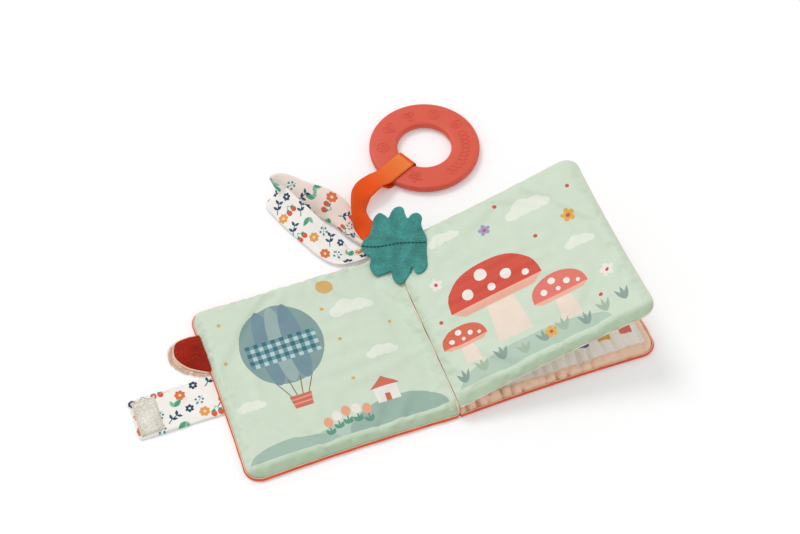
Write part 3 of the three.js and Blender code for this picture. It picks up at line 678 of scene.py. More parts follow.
def pleats(u, v, seed, deep=0.8, gathered=0.0):
    """Fine pleats square to the seam, in mm: narrow valleys at uneven distances, deepest near the
    seam. gathered adds the wide folds of a page gathered toward its gutter."""
    across, up, gutter = seam_distance(u, v, 1.2)
    rng = random.Random(seed)
    out = np.zeros_like(u)
    for distance, along in ((up, u * page_width + 40 * (v > 0.5)), (across, v * 145),
                            (gutter, v * 145 + 90)):
        wave = sum(np.sin(along * 2 * math.pi / rng.uniform(2.8, 8.0) + rng.uniform(0, 6.3))
                   * rng.uniform(0.5, 1) for _ in range(6)) / 3
        valley = -np.clip(wave, 0, 2) ** 1.6
        reach = 5.0 + 2.2 * np.sin(along / 9.7 + seed)
        out = out + deep * valley * np.exp(-(distance / reach) ** 1.5) * swell(distance, 1.3)
    if gathered:
        fold = sum(np.sin(u * page_width * 2 * math.pi / rng.uniform(5.5, 12)
                          + 1.5 * np.sin(up / 14 + k) + rng.uniform(0, 6.3)) for k in range(4)) / 2
        fold = 0.6 - 1.9 * np.clip(fold, 0, 2) ** 1.5
        share = np.clip(1.3 - u, 0.3, 1)
        out = out + (gathered * (fold - 0.8) * share * np.exp(-up / 24)
                     * swell(up, 1.6) * swell(gutter, 3))
    return out

lowest = 1.2

def on_grid(grid, low, high, seed=1, deep=0.8, gathered=0.0, way=(0, 0, 1)):
    """A smooth surface through the settled grid with its fine pleats, for flat points in mm. low
    is the gutter's foot, high the fore edge's head, and way the page's own upward direction. No
    pleat goes lower than lowest, where a cover's velour is."""
    rows, columns = grid.shape[:2]
    def weights(t):
        return np.stack([-t ** 3 + 2 * t * t - t, 3 * t ** 3 - 5 * t * t + 2,
                         -3 * t ** 3 + 4 * t * t + t, t ** 3 - t * t], -1) / 2
    def surface(flat):
        a = np.clip((flat[:, 0] - low[0]) / (high[0] - low[0]), 0, 1) * (columns - 1)
        b = np.clip((flat[:, 1] - low[1]) / (high[1] - low[1]), 0, 1) * (rows - 1)
        i = np.minimum(a.astype(int), columns - 2)
        j = np.minimum(b.astype(int), rows - 2)
        wa, wb = weights(a - i), weights(b - j)
        out = np.zeros((len(flat), 3))
        for p in range(4):
            for q in range(4):
                ii = np.clip(i + p - 1, 0, columns - 1)
                jj = np.clip(j + q - 1, 0, rows - 1)
                out += grid[jj, ii] * (wa[:, p] * wb[:, q])[:, None]
        folds = pleats(a / (columns - 1), b / (rows - 1), seed, deep, gathered)
        out += folds[:, None] * np.array(way)
        out[:, 2] = np.maximum(out[:, 2], lowest)
        return out * mm
    return surface

v_share, u_share = np.meshgrid(np.linspace(0, 1, grid_up + 1), np.linspace(0, 1, grid_across + 1),
                               indexing="ij")

# %% [markdown]
# The front cover's inner page is mint satin, and its cloth rises at the gutter to meet the leaf.
# Under it the velour turns up round the edge as a thin roll, which is the orange line along the
# cover's free sides.

# %% Front cover
def mirrored(x, y, z):
    return -x, y, z

gutter_gap, front_root = 1.0, 0.4
cover_seam, cover_top, gutter_lip, velour_seam = 2.8, 8.0, 11.6, 2.4
page_step = 2.4

def page_piece(name, root, surface, shapes, ground, material, rim=0.0, side=1, step=page_step):
    """A page's printed cloth, on the right of the gutter or, where side is -1, on its left."""
    low_x, high_x = sorted((side * root, side * page_width))
    mesh = printed_mesh(name, (low_x, -half_height), (high_x, half_height), step, shapes, ground,
                        surface, rim=rim)
    return place_piece(name, mesh, material,
                       slot="cream_print" if material is cream_satin else "mint_print")

front_grid = settle("front page cloth", *mirrored(*upper_face(
    u_share, v_share, front_root, cover_seam, cover_top, lip=gutter_lip, seed=3)), 0.025, 0.08)
front_flat = on_grid(front_grid, (-front_root, -half_height), (-page_width, half_height), seed=31)
front_page = page_piece("front_page", front_root, front_flat, balloon_page(), mint, mint_satin,
                        rim=11, side=-1)
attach(front_page, "front_cover")
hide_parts("front_inner_panel", "front_crinkle_film", "front_batting")

def underside(root, seam):
    """The outer cloth of a cover, flat on the floor and turned up to the seam at its sides."""
    across, up, gutter = seam_distance(u_share, v_share, root)
    x, y = page_plan(u_share, v_share, root, 0.4)
    z = seam * (1 - swell(across, 1.8) * swell(up, 1.8) * swell(gutter, 1.8)) + 0.15
    return np.stack([x, y, z + 0.12 * np.abs(pucker(u_share, v_share, root, 9))], -1)

def seam_roll(name, root, seam, radius, finish_used, body, slot, seed, out, side=1, sides=10,
              local=None, tuck=0.0, uneven=0.25):
    """The turned edge round the three free sides: a soft uneven tube along the page's outline.
    seam is its height, out its reach past the page, and tuck draws in its far side, in mm."""
    count = 260
    u = np.concatenate([np.linspace(0, 1, count), np.ones(count), np.linspace(1, 0, count)])
    v = np.concatenate([np.zeros(count), np.linspace(0, 1, count), np.ones(count)])
    x, y = page_plan(u, v, root, out - tuck * v ** 6 * (1 - u ** 20))
    rng = random.Random(seed)
    length = np.concatenate([[0], np.cumsum(np.hypot(np.diff(x), np.diff(y)))])
    wave = sum(rng.uniform(0.4, 1) * np.sin(length / rng.uniform(1.6, 4.5) + rng.uniform(0, 6))
               for _ in range(5)) / 3
    centre = np.stack([side * x, y, seam + uneven * wave], -1)
    outward = np.cross(unit(np.gradient(centre, axis=0)), [0, 0, 1.0])
    points = []
    for k in range(sides):
        a = 2 * math.pi * k / sides
        r = radius * (1 + 0.12 * wave)
        points.append(centre + outward * (r * math.cos(a))[:, None]
                      + np.array([0, 0, 1.0]) * (r * math.sin(a))[:, None])
    points = np.stack(points, 1)
    if local is not None:
        points = local(points)
    index = np.arange(len(centre) * sides).reshape(-1, sides)
    faces = grid_faces(np.pad(index, ((0, 0), (0, 1)), mode="wrap"))
    faces += [index[0].tolist()[::-1], index[-1].tolist()]
    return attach(place_piece(name, smooth_mesh(name, points * mm, faces), finish_used,
                               slot=slot), body)

def grid_mesh(name, grid):
    index = np.arange(grid[..., 0].size).reshape(grid.shape[:2])
    return smooth_mesh(name, grid * mm, grid_faces(index, flip=True))

front_under = underside(gutter_gap, velour_seam)
front_under[..., 0] *= -1
front_velour = place_piece("front_velour", grid_mesh("front_velour", front_under), red_velour,
                           slot="red_velour")
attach(front_velour, "front_cover")
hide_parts("front_outer_panel")
velour_roll = dict(finish_used=red_velour, slot="red_velour", tuck=1.3)
thread_roll = dict(finish_used=peach_cotton, slot="cream_print", tuck=0.9, sides=6)
seam_roll("front_velour_edge", gutter_gap, 1.5, 1.25, body="front_cover", side=-1, seed=5,
          out=0.3, uneven=0.12, **velour_roll)
seam_roll("front_seam_thread", gutter_gap, 2.95, 0.36, body="front_cover", side=-1, seed=6,
          out=0.35, uneven=0.1, **thread_roll)
print("front page", len(front_page.data.polygons), "printed triangles")

# %% [markdown]
# The back cover lies flat under the leaf. Its inner page is cream with a peach border, gathered in
# pleats at the gutter, and its velour edge shows below it.

# %% Back cover
back_grid = settle("back page cloth", *upper_face(
    u_share, v_share, gutter_gap, cover_seam, cover_top, seed=7), 0.04, 0.06)
back_grid[..., 2] = np.minimum(back_grid[..., 2], 7.8)
back_flat = on_grid(back_grid, (gutter_gap, -half_height), (page_width, half_height), seed=33,
                    deep=0.9, gathered=2.3)
back_page = page_piece("back_page", gutter_gap, back_flat, fruit_page(), "FFF8F0", cream_satin,
                       rim=30)
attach(back_page, "back_cover")
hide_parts("back_inner_panel", "back_crinkle_film", "back_batting")
back_velour = place_piece("back_velour", grid_mesh(
    "back_velour", underside(gutter_gap, velour_seam)), red_velour, slot="red_velour")
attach(back_velour, "back_cover")
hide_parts("back_outer_panel")
seam_roll("back_velour_edge", gutter_gap, 1.6, 1.35, body="back_cover", seed=11, out=0.35,
          uneven=0.3, **velour_roll)
seam_roll("back_seam_thread", gutter_gap, 3.0, 0.4, body="back_cover", seed=12, out=0.4,
          uneven=0.2, **thread_roll)
print("back page", len(back_page.data.polygons), "printed triangles")

# %% [markdown]
# The middle leaf is lifted. It is built lying flat about its own middle and then turned about the
# leaf hinge, as the CAD group is. A cream seam shows round its edge.

# %% Middle leaf
leaf_root, leaf_hinge, leaf_lift = 0.9, 12.0, math.radians(17.5)
leaf_seam_height, leaf_top_height, leaf_low_height, leaf_depth = 0.35, 3.7, 3.5, 3.6

def lifted(points):
    x, z = points[..., 0], points[..., 2]
    c, s = math.cos(leaf_lift), math.sin(leaf_lift)
    return np.stack([x * c - z * s, points[..., 1], leaf_hinge + x * s + z * c], -1)

leaf_top = lifted(settle("leaf page cloth", *upper_face(
    u_share, v_share, leaf_root, leaf_seam_height, leaf_top_height, seed=13), 0.025, 0.08))
leaf_way = (-math.sin(leaf_lift), 0, math.cos(leaf_lift))
leaf_corners = (leaf_root, -half_height), (page_width, half_height)
leaf_page = page_piece("leaf_page", leaf_root, on_grid(leaf_top, *leaf_corners, seed=35,
                                                       way=leaf_way),
                       toadstool_page(), mint, mint_satin, rim=11)
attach(leaf_page, "middle_leaf")
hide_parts("leaf_upper_panel", "leaf_crinkle_film", "leaf_batting")
x, y, z = upper_face(u_share, v_share, leaf_root, leaf_seam_height, leaf_low_height, seed=17)
leaf_low = lifted(np.stack([x, y, -np.minimum(z, leaf_depth)], -1))
leaf_back = page_piece("leaf_back_page", leaf_root, on_grid(leaf_low, *leaf_corners),
                       little_flowers(148, 140, 21, 22), "EEF1E2", mint_satin, step=3.0)
leaf_back.data.flip_normals()
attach(leaf_back, "middle_leaf")
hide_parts("leaf_lower_panel")
seam_roll("leaf_seam", leaf_root, -0.3, 0.5, cream_tape, "middle_leaf", "cream_binding",
          seed=19, out=0.1, local=lifted)

# %% [markdown]
# At the spine a velour strip closes the outside, and a cream tape stands in the gutter under the
# leaf, whose sewn edge is bound with a roll of it. The strip is in two halves, one on each side of
# the spine's line.

# %% Spine
def strip_grid(x0, x1, y0, y1, z, across=24, up=40):
    """A level rectangle of points, across by up squares."""
    xs, ys = np.meshgrid(np.linspace(x0, x1, across + 1), np.linspace(y0, y1, up + 1))
    return np.stack([xs, ys, z + 0 * xs], -1)

spine_half, spine_reach, spine_height, web_foot, web_rise = 5.6, 72, 0.6, 1.6, 9.2
spine_right, spine_left = (place_piece(name, grid_mesh(name, strip_grid(
    x0, x1, -spine_reach, spine_reach, spine_height)), red_velour, slot="red_velour")
    for name, x0, x1 in (("spine_velour_right", 0, spine_half),
                         ("spine_velour_left", -spine_half, 0)))
for half in (spine_right, spine_left):
    thicken(half, 1.0)
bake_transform(spine_right)
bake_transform(spine_left)
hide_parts("spine_strip")

web = strip_grid(0, 1, -spine_reach, spine_reach, 0, 10, 60)
web = np.stack([0.5 * np.sin(web[..., 1] / 5.0) * web[..., 0], web[..., 1],
                web_foot + web_rise * web[..., 0]], -1)
gutter_tape = place_piece("gutter_tape", grid_mesh("gutter_tape", web), cream_tape,
                          slot="cream_binding")
thicken(gutter_tape, 1.0)
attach(gutter_tape, "back_cover")
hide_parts("gutter_web")
print("spine", 2 * spine_half, "by", 2 * spine_reach, "mm")

# %% [markdown]
# The leaf at the top of the spine is cut from wool felt with a blunt lobed outline. It bends over
# the gutter, so it is two halves that meet on the spine's line. A dark stitched rib runs down its
# middle, and a neck of the same felt goes down into the spine.

# %% Helpers for cut outlines and sewn lines
def smooth_line(points, per=6):
    """A smooth curve through the points, with per steps between each two of them."""
    points = np.array(points, float)
    n = len(points)
    out = []
    for k in range(n - 1):
        p0, p1, p2 = points[max(k - 1, 0)], points[k], points[k + 1]
        p3 = points[min(k + 2, n - 1)]
        for t in np.arange(per) / per:
            out.append((2 * p1 + (p2 - p0) * t + (2 * p0 - 5 * p1 + 4 * p2 - p3) * t * t
                        + (3 * p1 - p0 - 3 * p2 + p3) * t ** 3) / 2)
    return np.array(out + [points[-1]])

def tubes(name, lines, radius, finish_used, slot, sides=8, flat=1.0):
    """One mesh of many round cords, each along a line of points in mm."""
    turns = [2 * math.pi * j / sides for j in range(sides)]
    points, faces = [], []
    for line in lines:
        line = np.array(line, float)
        way = unit(np.gradient(line, axis=0))
        side = unit(np.cross(way, [0.02, 0.01, 1.0]))
        up = np.cross(side, way)
        ends = np.linspace(-1, 1, len(line))
        size = radius * np.sqrt(np.maximum(1 - np.abs(ends) ** 12, 0.15))
        index = len(points) + np.arange(len(line) * sides).reshape(-1, sides)
        points += [p + s * (math.cos(a) * x + flat * math.sin(a) * z)
                   for p, s, x, z in zip(line, size, side, up) for a in turns]
        faces += grid_faces(np.pad(index, ((0, 0), (0, 1)), mode="wrap"), flip=True)
        faces += [index[0].tolist()[::-1], index[-1].tolist()]
    return place_piece(name, smooth_mesh(name, np.array(points) * mm, faces), finish_used,
                       slot=slot)

# %% Felt leaf
felt_length, felt_width, felt_turn = 51.0, 65.0, math.radians(-30)
felt_tip_x, felt_tip_y, felt_ply = -17.0, 82.0, 1.6
neck_low, neck_high, neck_foot, neck_rise = 74, 96, 6.9, 6.4
upper_lobes = [
    (0, 0), (0.03, 0.10), (0.09, 0.14), (0.11, 0.25), (0.12, 0.36), (0.19, 0.41), (0.28, 0.37),
    (0.34, 0.335), (0.37, 0.42), (0.43, 0.47), (0.52, 0.46), (0.57, 0.38), (0.625, 0.32),
    (0.67, 0.37), (0.75, 0.385), (0.82, 0.34), (0.83, 0.25), (0.88, 0.16), (0.95, 0.06)]
lower_lobes = [
    (0.98, -0.10), (1.01, -0.20), (1.03, -0.30), (0.97, -0.375), (0.88, -0.37), (0.82, -0.30),
    (0.79, -0.38), (0.73, -0.46), (0.66, -0.475), (0.57, -0.41), (0.52, -0.31), (0.44, -0.33),
    (0.34, -0.365), (0.26, -0.34), (0.19, -0.25), (0.18, -0.14), (0.09, -0.09), (0.03, -0.04),
    (0, 0)]
whole = smooth_line([(a * felt_length, b * felt_width) for a, b in upper_lobes + lower_lobes])[:-1]

def felt_place(points):
    c, s = math.cos(felt_turn), math.sin(felt_turn)
    return np.stack([felt_tip_x + points[:, 0] * c - points[:, 1] * s,
                     felt_tip_y + points[:, 0] * s + points[:, 1] * c], -1)

def felt_height(x, y):
    """Over the front page, up over the bound gutter and on over the lifted leaf, in mm."""
    reach = np.linspace(-60, 80, 141)
    knots = np.interp(reach, [-60, -13, -6, 0, 7, 80], [9.3, 9.4, 10.9, 14.6, 19.4, 42.4])
    knots = np.convolve(np.pad(knots, 3, mode="edge"), np.ones(7) / 7, mode="valid")
    wave = 0.5 * np.sin(x / 7 + 1) * np.sin(y / 6) + 0.25 * np.sin(x / 2.7 + y / 3.9)
    return np.interp(x, reach, knots) + 0.2 * wave

def felt_surface(flat):
    return np.stack([flat[:, 0], flat[:, 1], felt_height(flat[:, 0], flat[:, 1])], -1) * mm

felt_outline = felt_place(whole)
lows, highs = felt_outline.min(axis=0) - 1, felt_outline.max(axis=0) + 1
felt_whole = place_piece("felt_leaf", printed_mesh(
    "felt_leaf", lows, highs, 1.6, [], "43908A", felt_surface, cut=felt_outline.tolist(),
    crease=((0, lows[1]), (0, highs[1]))), green_felt)
thicken(felt_whole, felt_ply)
felt_left, felt_right = halves(felt_whole, "felt_leaf_left", "felt_leaf_right", 0.0)

rib = felt_place(np.stack([np.linspace(0.8, felt_length - 0.8, 36), np.zeros(36)], -1))
stitches = {-1: [], 1: []}
for k in range(0, 34, 2):
    ends = rib[k:k + 3]
    share = np.linspace(0, 0.86, 5)[:, None]
    line = ends[0] + (ends[2] - ends[0]) * share
    lift = np.array([0.2, 0.75, 0.9, 0.75, 0.2]) + felt_ply / 2 - 0.3
    high = felt_height(line[:, 0], line[:, 1]) + lift
    stitches[-1 if line[2, 0] < 0 else 1].append(np.column_stack([line, high]))
stitch_left = tubes("felt_stitches_left", stitches[-1], 0.5, dark_thread, "green_felt")
stitch_right = tubes("felt_stitches_right", stitches[1], 0.5, dark_thread, "green_felt")
neck = strip_grid(0, 1, neck_low, neck_high, 0, 8, 30)
neck = np.stack([0.5 * np.sin(neck[..., 1] / 2.6), neck[..., 1],
                 neck_foot + neck_rise * neck[..., 0]], -1)
felt_neck = place_piece("felt_neck", grid_mesh("felt_neck", neck), green_felt, slot="green_felt")
thicken(felt_neck, felt_ply)
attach(felt_neck, "back_cover")
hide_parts("felt_leaf_root")
for piece in (felt_left, stitch_left):
    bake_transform(piece)
for piece in (felt_right, stitch_right):
    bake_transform(piece)

for piece, side, under in ((felt_left, -1, "front_page"), (felt_right, 1, "leaf_page")):
    half = clipped(felt_outline.tolist(), 0, side, 0.0)
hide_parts("felt_leaf_left_half")
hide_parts("felt_leaf_right_half")
print("felt leaf", [round(v, 1) for v in (highs - lows)], "mm,", sum(map(len, stitches.values())),
      "stitches")

# %% [markdown]
# The teether is a flat ring of coral silicone, moulded in one piece: a broad flat band with
# rounded edges and plain signs drawn in a raised line on its face, such as a drop, a star and a
# heart, with a running wave where there's room left.

# %% Teether ring
ring_x, ring_y, ring_low, ring_high = 62.962, 158.438, 1.0, 7.0
outer, bore, edge = 43.0, 21.0, 2.3

def ring_profile():
    out = []
    for radius, height, start in ((outer, ring_low, -90), (outer, ring_high, 0),
                                  (bore, ring_high, 90), (bore, ring_low, 180)):
        side = 1 if radius == outer else -1
        up = 1 if height == ring_high else -1
        for step in range(7):
            a = math.radians(start + 15 * step)
            out.append((radius - side * edge + edge * math.cos(a),
                        height - up * edge + edge * math.sin(a)))
    return np.array(out)

profile = ring_profile()
turns = np.linspace(0, 2 * math.pi, 193)[:-1]
body = np.stack([ring_x + np.outer(np.cos(turns), profile[:, 0]),
                 ring_y + np.outer(np.sin(turns), profile[:, 0]),
                 np.tile(profile[:, 1], (len(turns), 1))], -1)
index = np.arange(body[..., 0].size).reshape(body.shape[:2])
ring_mesh = smooth_mesh("teether", body * mm,
                        grid_faces(np.pad(index, ((0, 1), (0, 1)), mode="wrap")))
ring = place_piece("teether", ring_mesh, coral_silicone, slot="coral_silicone")
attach(ring, "teether_ring")
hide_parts("teether_ring")

def sign(kind):
    """A plain sign's outline about its middle, about two units across."""
    a = np.linspace(0, 2 * math.pi, 41)
    if kind == "heart":
        return np.stack([np.sin(a) ** 3 * 0.9, (13 * np.cos(a) - 5 * np.cos(2 * a)
                                                - 2 * np.cos(3 * a) - np.cos(4 * a)) / 17], -1)
    r = {"drop": 0.62 + 0.38 * np.maximum(np.sin(a), 0) ** 3,
         "star": 0.72 + 0.26 * np.cos(5 * (a - math.pi / 2)),
         "clover": 0.68 + 0.28 * np.cos(3 * (a + math.pi / 2)),
         "four petals": 0.68 + 0.26 * np.cos(4 * a),
         "shell": 0.82 + 0.10 * np.cos(9 * a),
         "round": 0.8 + 0 * a}[kind]
    return np.stack([r * np.cos(a), r * np.sin(a)], -1)

raised = []
sign_size, sign_start, sign_pitch = 5.6, 20, 36
middle_radius = (outer + bore) / 2
for k, kind in enumerate(("drop", "round", "clover", "heart", "shell", "four petals", "star")):
    turn = math.radians(sign_start + sign_pitch * k)
    for size in (1.0, 0.42):
        shape = sign(kind) * sign_size * size
        along, out = shape[:, 0], shape[:, 1] + middle_radius
        raised.append(np.stack([
            ring_x + out * math.cos(turn) - along * math.sin(turn),
            ring_y + out * math.sin(turn) + along * math.cos(turn),
            np.full(len(along), ring_high)], -1))
wave_points, wave_size = 150, 3.2
sweep = np.radians(np.linspace(282, 368, wave_points))
run = np.arange(wave_points)
for phase in (0, math.pi):
    out = middle_radius + wave_size * np.sin(run / 4.2 + phase)
    raised.append(np.stack([ring_x + out * np.cos(sweep), ring_y + out * np.sin(sweep),
                            np.full(wave_points, ring_high)], -1))
relief = tubes("teether_signs", raised, 0.55, coral_silicone, "coral_silicone", sides=8, flat=0.8)
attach(relief, "teether_ring")
print("teether ring", 2 * outer, "across,", len(raised), "raised lines")

# %% [markdown]
# The ribbon and the carrying loop are narrow strips, which a cloth simulation would lose, so each
# is swept along a smooth line of stations with its own way across. The ribbon is grosgrain: its
# two plies lie together in the seam, part at the ring and go round it.

# %% Swept strips
def swept(stations):
    """Centres, ways across and up, widths and lengths so far, along stations of (centre, across,
    width), in mm."""
    centre, across, wide = (smooth_line(np.reshape([s[k] for s in stations], (len(stations), -1)),
                                        8) for k in range(3))
    way = unit(np.gradient(centre, axis=0))
    across = unit(across - way * (across * way).sum(axis=1, keepdims=True))
    length = np.concatenate([[0], np.cumsum(np.linalg.norm(np.diff(centre, axis=0), axis=1))])
    return centre, across, np.cross(way, across), wide[:, 0], length

strip_lowest = 0.75

def strip_surface(strip, full_width, ripple=0.0, bow=0.0, off=0.0):
    """Maps flat points (across from 0 to full width, along the strip) to the swept strip."""
    centre, across, up, wide, length = strip
    def surface(flat):
        def at(values):
            return np.stack([np.interp(flat[:, 1], length, values[:, k]) for k in range(3)], -1)
        share = flat[:, 0] / full_width - 0.5
        width = np.interp(flat[:, 1], length, wide)
        gathered = 1 - width / full_width
        fold = gathered * 1.6 * np.sin(share * 14) + ripple * np.sin(flat[:, 1] / 5.3 + share * 5)
        lift = fold + bow * (1 - 4 * share * share) + off
        out = at(centre) + at(across) * (share * width)[:, None] + at(up) * lift[:, None]
        out[:, 2] = np.maximum(out[:, 2], strip_lowest)
        return out * mm
    return surface

def strip_piece(name, strip, width, step, shapes, ground, material, slot, ply, **kind):
    mesh = printed_mesh(name, (0, 0.0), (width, float(strip[4][-1])), step, shapes, ground,
                        strip_surface(strip, width, **kind))
    piece = place_piece(name, mesh, material, slot=slot)
    thicken(piece, ply)
    return piece

# %% Ribbon
ribbon_width, ribbon_ply, ply_offset = 15.5, 0.6, 0.35
turn = math.radians(25.6)
along_x, along_y = math.cos(turn), math.sin(turn)
bend = np.array([13.0, 134.5])
root_x, swing_low, swing_high = -7.0, 96, 103
root_end = np.array([root_x, 99.0])
run_x, run_y, run_low, run_high = 20, 35.5, 5.6, 12
run_across = (along_y, -along_x, 0)
run_rise = run_high - run_low
lower_stations = [((0.5, 76, run_low), (1, 0.1, 0), ribbon_width),
                  ((-3.5, 87.5, run_low), (1, 0, 0), ribbon_width)]
for (x, y), height, across in (((0, 0), 0, (1, 0, 0)), ((-0.05, 0.21), 0.45, (0.85, -0.15, -0.5)),
                               ((0.05, 0.52), 0.85, (0.55, -0.4, -0.73)),
                               ((0.42, 0.83), 1.05, (0.5, -0.8, -0.33)), ((1, 1), 1, run_across)):
    lower_stations.append(((root_end[0] + x * run_x, root_end[1] + y * run_y,
                            run_low + height * run_rise), across, ribbon_width))

def ring_way(forward, height):
    return (bend[0] + forward * along_x, bend[1] + forward * along_y, height)

loop_line = [
    (0, 12.4), (3.5, 11.2), (7, 9.5), (11, 8.45), (16, 8.3), (24, 8.25), (31, 8.25), (35.4, 7.9),
    (37.3, 6.4), (37.8, 4.2), (37.2, 1.9), (35.2, 0.85), (30, 0.8), (20, 0.8), (12, 0.9), (8, 2.6),
    (4, 7.4), (0.5, 11.3)]
upper = swept([lower_stations[-2]]
              + [(ring_way(f, h), run_across, ribbon_width) for f, h in loop_line])
lower = swept(lower_stations)
ribbon_flat = dict(width=ribbon_width, step=1.6, shapes=[], ground="FB5A14",
                   material=orange_ribbon, slot="orange_ribbon", ply=ribbon_ply)
ribbon_ends = [strip_piece("ribbon_lower_ply", lower, off=-ply_offset, **ribbon_flat),
               strip_piece("ribbon_upper_ply", lower, off=ply_offset, **ribbon_flat)]
# Painted light: the ribbon's print grows paler in steps where it runs up over the ring, standing
# in for the light on its top.
painted_light_low, painted_light_high, painted_light_step, painted_light_count = 7, 9.4, 2.4, 17
painted_light_bands = [block(0, k * painted_light_step + painted_light_low, ribbon_width, k * painted_light_step + painted_light_high,
             "FB%02X%02X" % (0x5A + 3 * k, 0x14 + 3 * k)) for k in range(painted_light_count)]
ribbon_round = strip_piece("ribbon_round_ring", upper, **{**ribbon_flat, "shapes": painted_light_bands})
for piece in ribbon_ends:
    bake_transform(piece)
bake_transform(ribbon_round)
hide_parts("ribbon_root")
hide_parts("ribbon_run")
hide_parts("ribbon_loop")
print("ribbon", round(float(lower[4][-1] + upper[4][-1])), "mm along its middle")

# %% [markdown]
# The carrying loop is one strip of printed cotton, sewn in at the top of the spine. It stands on
# its edge and leans back, and it is gathered where both ends go into the seam. The ground of its
# far run is a little warmer.

# %% Carrying loop
loop_length, loop_width = 80.0, 23.0
loop_plan = [
    ((-0.20, 0.035), 0.12, (0.58, 0.82, 0.02), 0.46),
    ((-0.349, 0.042), 0.096, (0.58, 0.82, 0.02), 0.46),
    ((-0.505, 0.092), 0.052, (0.52, 0.76, 0.35), 0.85),
    ((-0.694, 0.438), 0.044, (0.62, 0.55, 0.56), 1),
    ((-0.813, 0.731), 0.044, (0.70, 0.42, 0.56), 1),
    ((-0.850, 0.885), 0.044, (0.55, 0.60, 0.58), 1),
    ((-0.750, 0.935), 0.044, (0.38, 0.70, 0.60), 1),
    ((-0.588, 0.781), 0.044, (0.29, 0.76, 0.58), 1),
    ((-0.375, 0.569), 0.044, (0.29, 0.76, 0.58), 1),
    ((-0.313, 0.445), 0.052, (0.60, 0.62, 0.40), 0.78),
    ((-0.264, 0.326), 0.096, (0.98, 0.16, 0.02), 0.46),
    ((-0.14, 0.14), 0.12, (0.98, 0.16, 0.02), 0.46)]
loop_stations = []
for place, height, across, width in loop_plan:
    across = np.array(across) / np.linalg.norm(across)
    edge = np.array([place[0] * loop_length, half_height + place[1] * loop_length,
                     height * loop_width + 0.9])
    loop_stations.append((edge + across * width * loop_width / 2, across, width * loop_width))
loop_strip = swept(loop_stations)
loop_run = float(loop_strip[4][-1])
far_start = 0.52 * loop_run
loop_shapes = [block(0, far_start, loop_width, loop_run, "FFEDE2")]
loop_shapes += little_flowers(loop_width, loop_run, 41)
loop = strip_piece("carrying_loop_strip", loop_strip, loop_width, 1.5, loop_shapes, "FFFAF4",
                   floral_cotton, "floral_cotton", 1.0, ripple=0.35, bow=0.8)
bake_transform(loop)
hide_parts("carrying_loop", "carrying_loop_root")
print("carrying loop strip", round(loop_run), "by", loop_width, "mm")

# %% [markdown]
# The closing strap is a doubled strip of the same cotton with a piece of hook tape near its end.
# It goes round the fore edge of the closed book, so it is modelled as two lengths that meet on its
# straight run.

# %% Closing strap
strap_low, strap_high, strap_end, strap_middle = -14.25, 18.25, -213.0, -167.0
strap_sewn, strap_ground, strap_ply, strap_corner = -148.5, "FFFAF4", 1.2, 2.5
stitch_pitch, stitch_length, stitch_inset, stitch_height = 2.6, 1.9, 1.6, 1.75

def strap_surface(flat):
    x, y = flat[:, 0], flat[:, 1]
    lift = 0.95 + 0.35 * np.sin(x / 6.5 + y / 30) * np.clip((-152 - x) / 8, 0, 1) ** 2
    lift = lift + 0.25 * np.abs(y - 2) / 16 * np.sin(x / 3.7) ** 2
    return np.stack([x, y, lift], -1) * mm

def rounded_end(x_far, x_near, low, high, radius):
    out = [(x_near, low), (x_near, high)]
    for middle, start in ((high - radius, math.pi / 2), (low + radius, math.pi)):
        out += [(x_far + radius + radius * math.cos(a), middle + radius * math.sin(a))
                for a in np.linspace(start, start + math.pi / 2, 6)]
    return out

strap_shapes = [([(x + strap_end, y + strap_low) for x, y in outline], colour)
                for outline, colour in little_flowers(66, 32.5, 57)]
strap_whole = place_piece("strap", printed_mesh(
    "strap", (strap_end, strap_low), (strap_sewn, strap_high), 1.8, strap_shapes, strap_ground,
    strap_surface, cut=rounded_end(strap_end, strap_sewn, strap_low, strap_high, strap_corner),
    crease=((strap_middle, strap_low), (strap_middle, strap_high))), floral_cotton)
thicken(strap_whole, strap_ply)
strap_tip_end, strap_near = halves(strap_whole, "strap_end", "strap_near_cover", strap_middle)
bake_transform(strap_near)
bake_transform(strap_tip_end)
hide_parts("strap_root", "strap_run")
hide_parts("strap_tip")
strap_seam = [[(x, y, stitch_height + 0.25 * abs(math.sin(x / 3.7)))
               for x in np.linspace(a, a + stitch_length, 4)]
              for y in (strap_low + stitch_inset, strap_high - stitch_inset)
              for a in np.arange(-211, -183, stitch_pitch)]
seam = tubes("strap_stitches", strap_seam, 0.22, cream_tape, "floral_cotton", sides=5)
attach(seam, "strap_tip")
print("strap", strap_sewn - strap_end, "by", strap_high - strap_low, "mm")

# %% [markdown]
# Hook tape is sewn on near the strap's end with a zigzag, and its loop tape is under the back
# cover.

# %% Hook and loop tape
hook_left, hook_right, hook_inset, hook_height, hook_rise = -211, -194, 2.4, 2.3, 0.5
loop_left, loop_right, loop_inset, loop_height, loop_rise = 119, 143, 0.8, 0.5, 0.4
tape_pitch, zigzag, zigzag_half = 0.45, 1.3, 0.7

def tape(name, x0, x1, y0, y1, z, height, seed, down=False):
    """Hook or loop tape: a thin plate under a dense field of small bumps."""
    rng = np.random.default_rng(seed)
    across, up = round((x1 - x0) / tape_pitch), round((y1 - y0) / tape_pitch)
    grid = strip_grid(x0, x1, y0, y1, z, across, up)
    bumps = rng.uniform(0, 1, grid.shape[:2]) ** 2
    edge = np.zeros_like(bumps)
    edge[2:-2, 2:-2] = 1
    grid[..., 2] += (-1 if down else 1) * height * bumps * edge
    mesh = grid_mesh(name, grid)
    piece = place_piece(name, mesh, hook_tape, slot="fastener_cream")
    thicken(piece, 0.5, offset=1.0 if down else -1.0)
    return piece

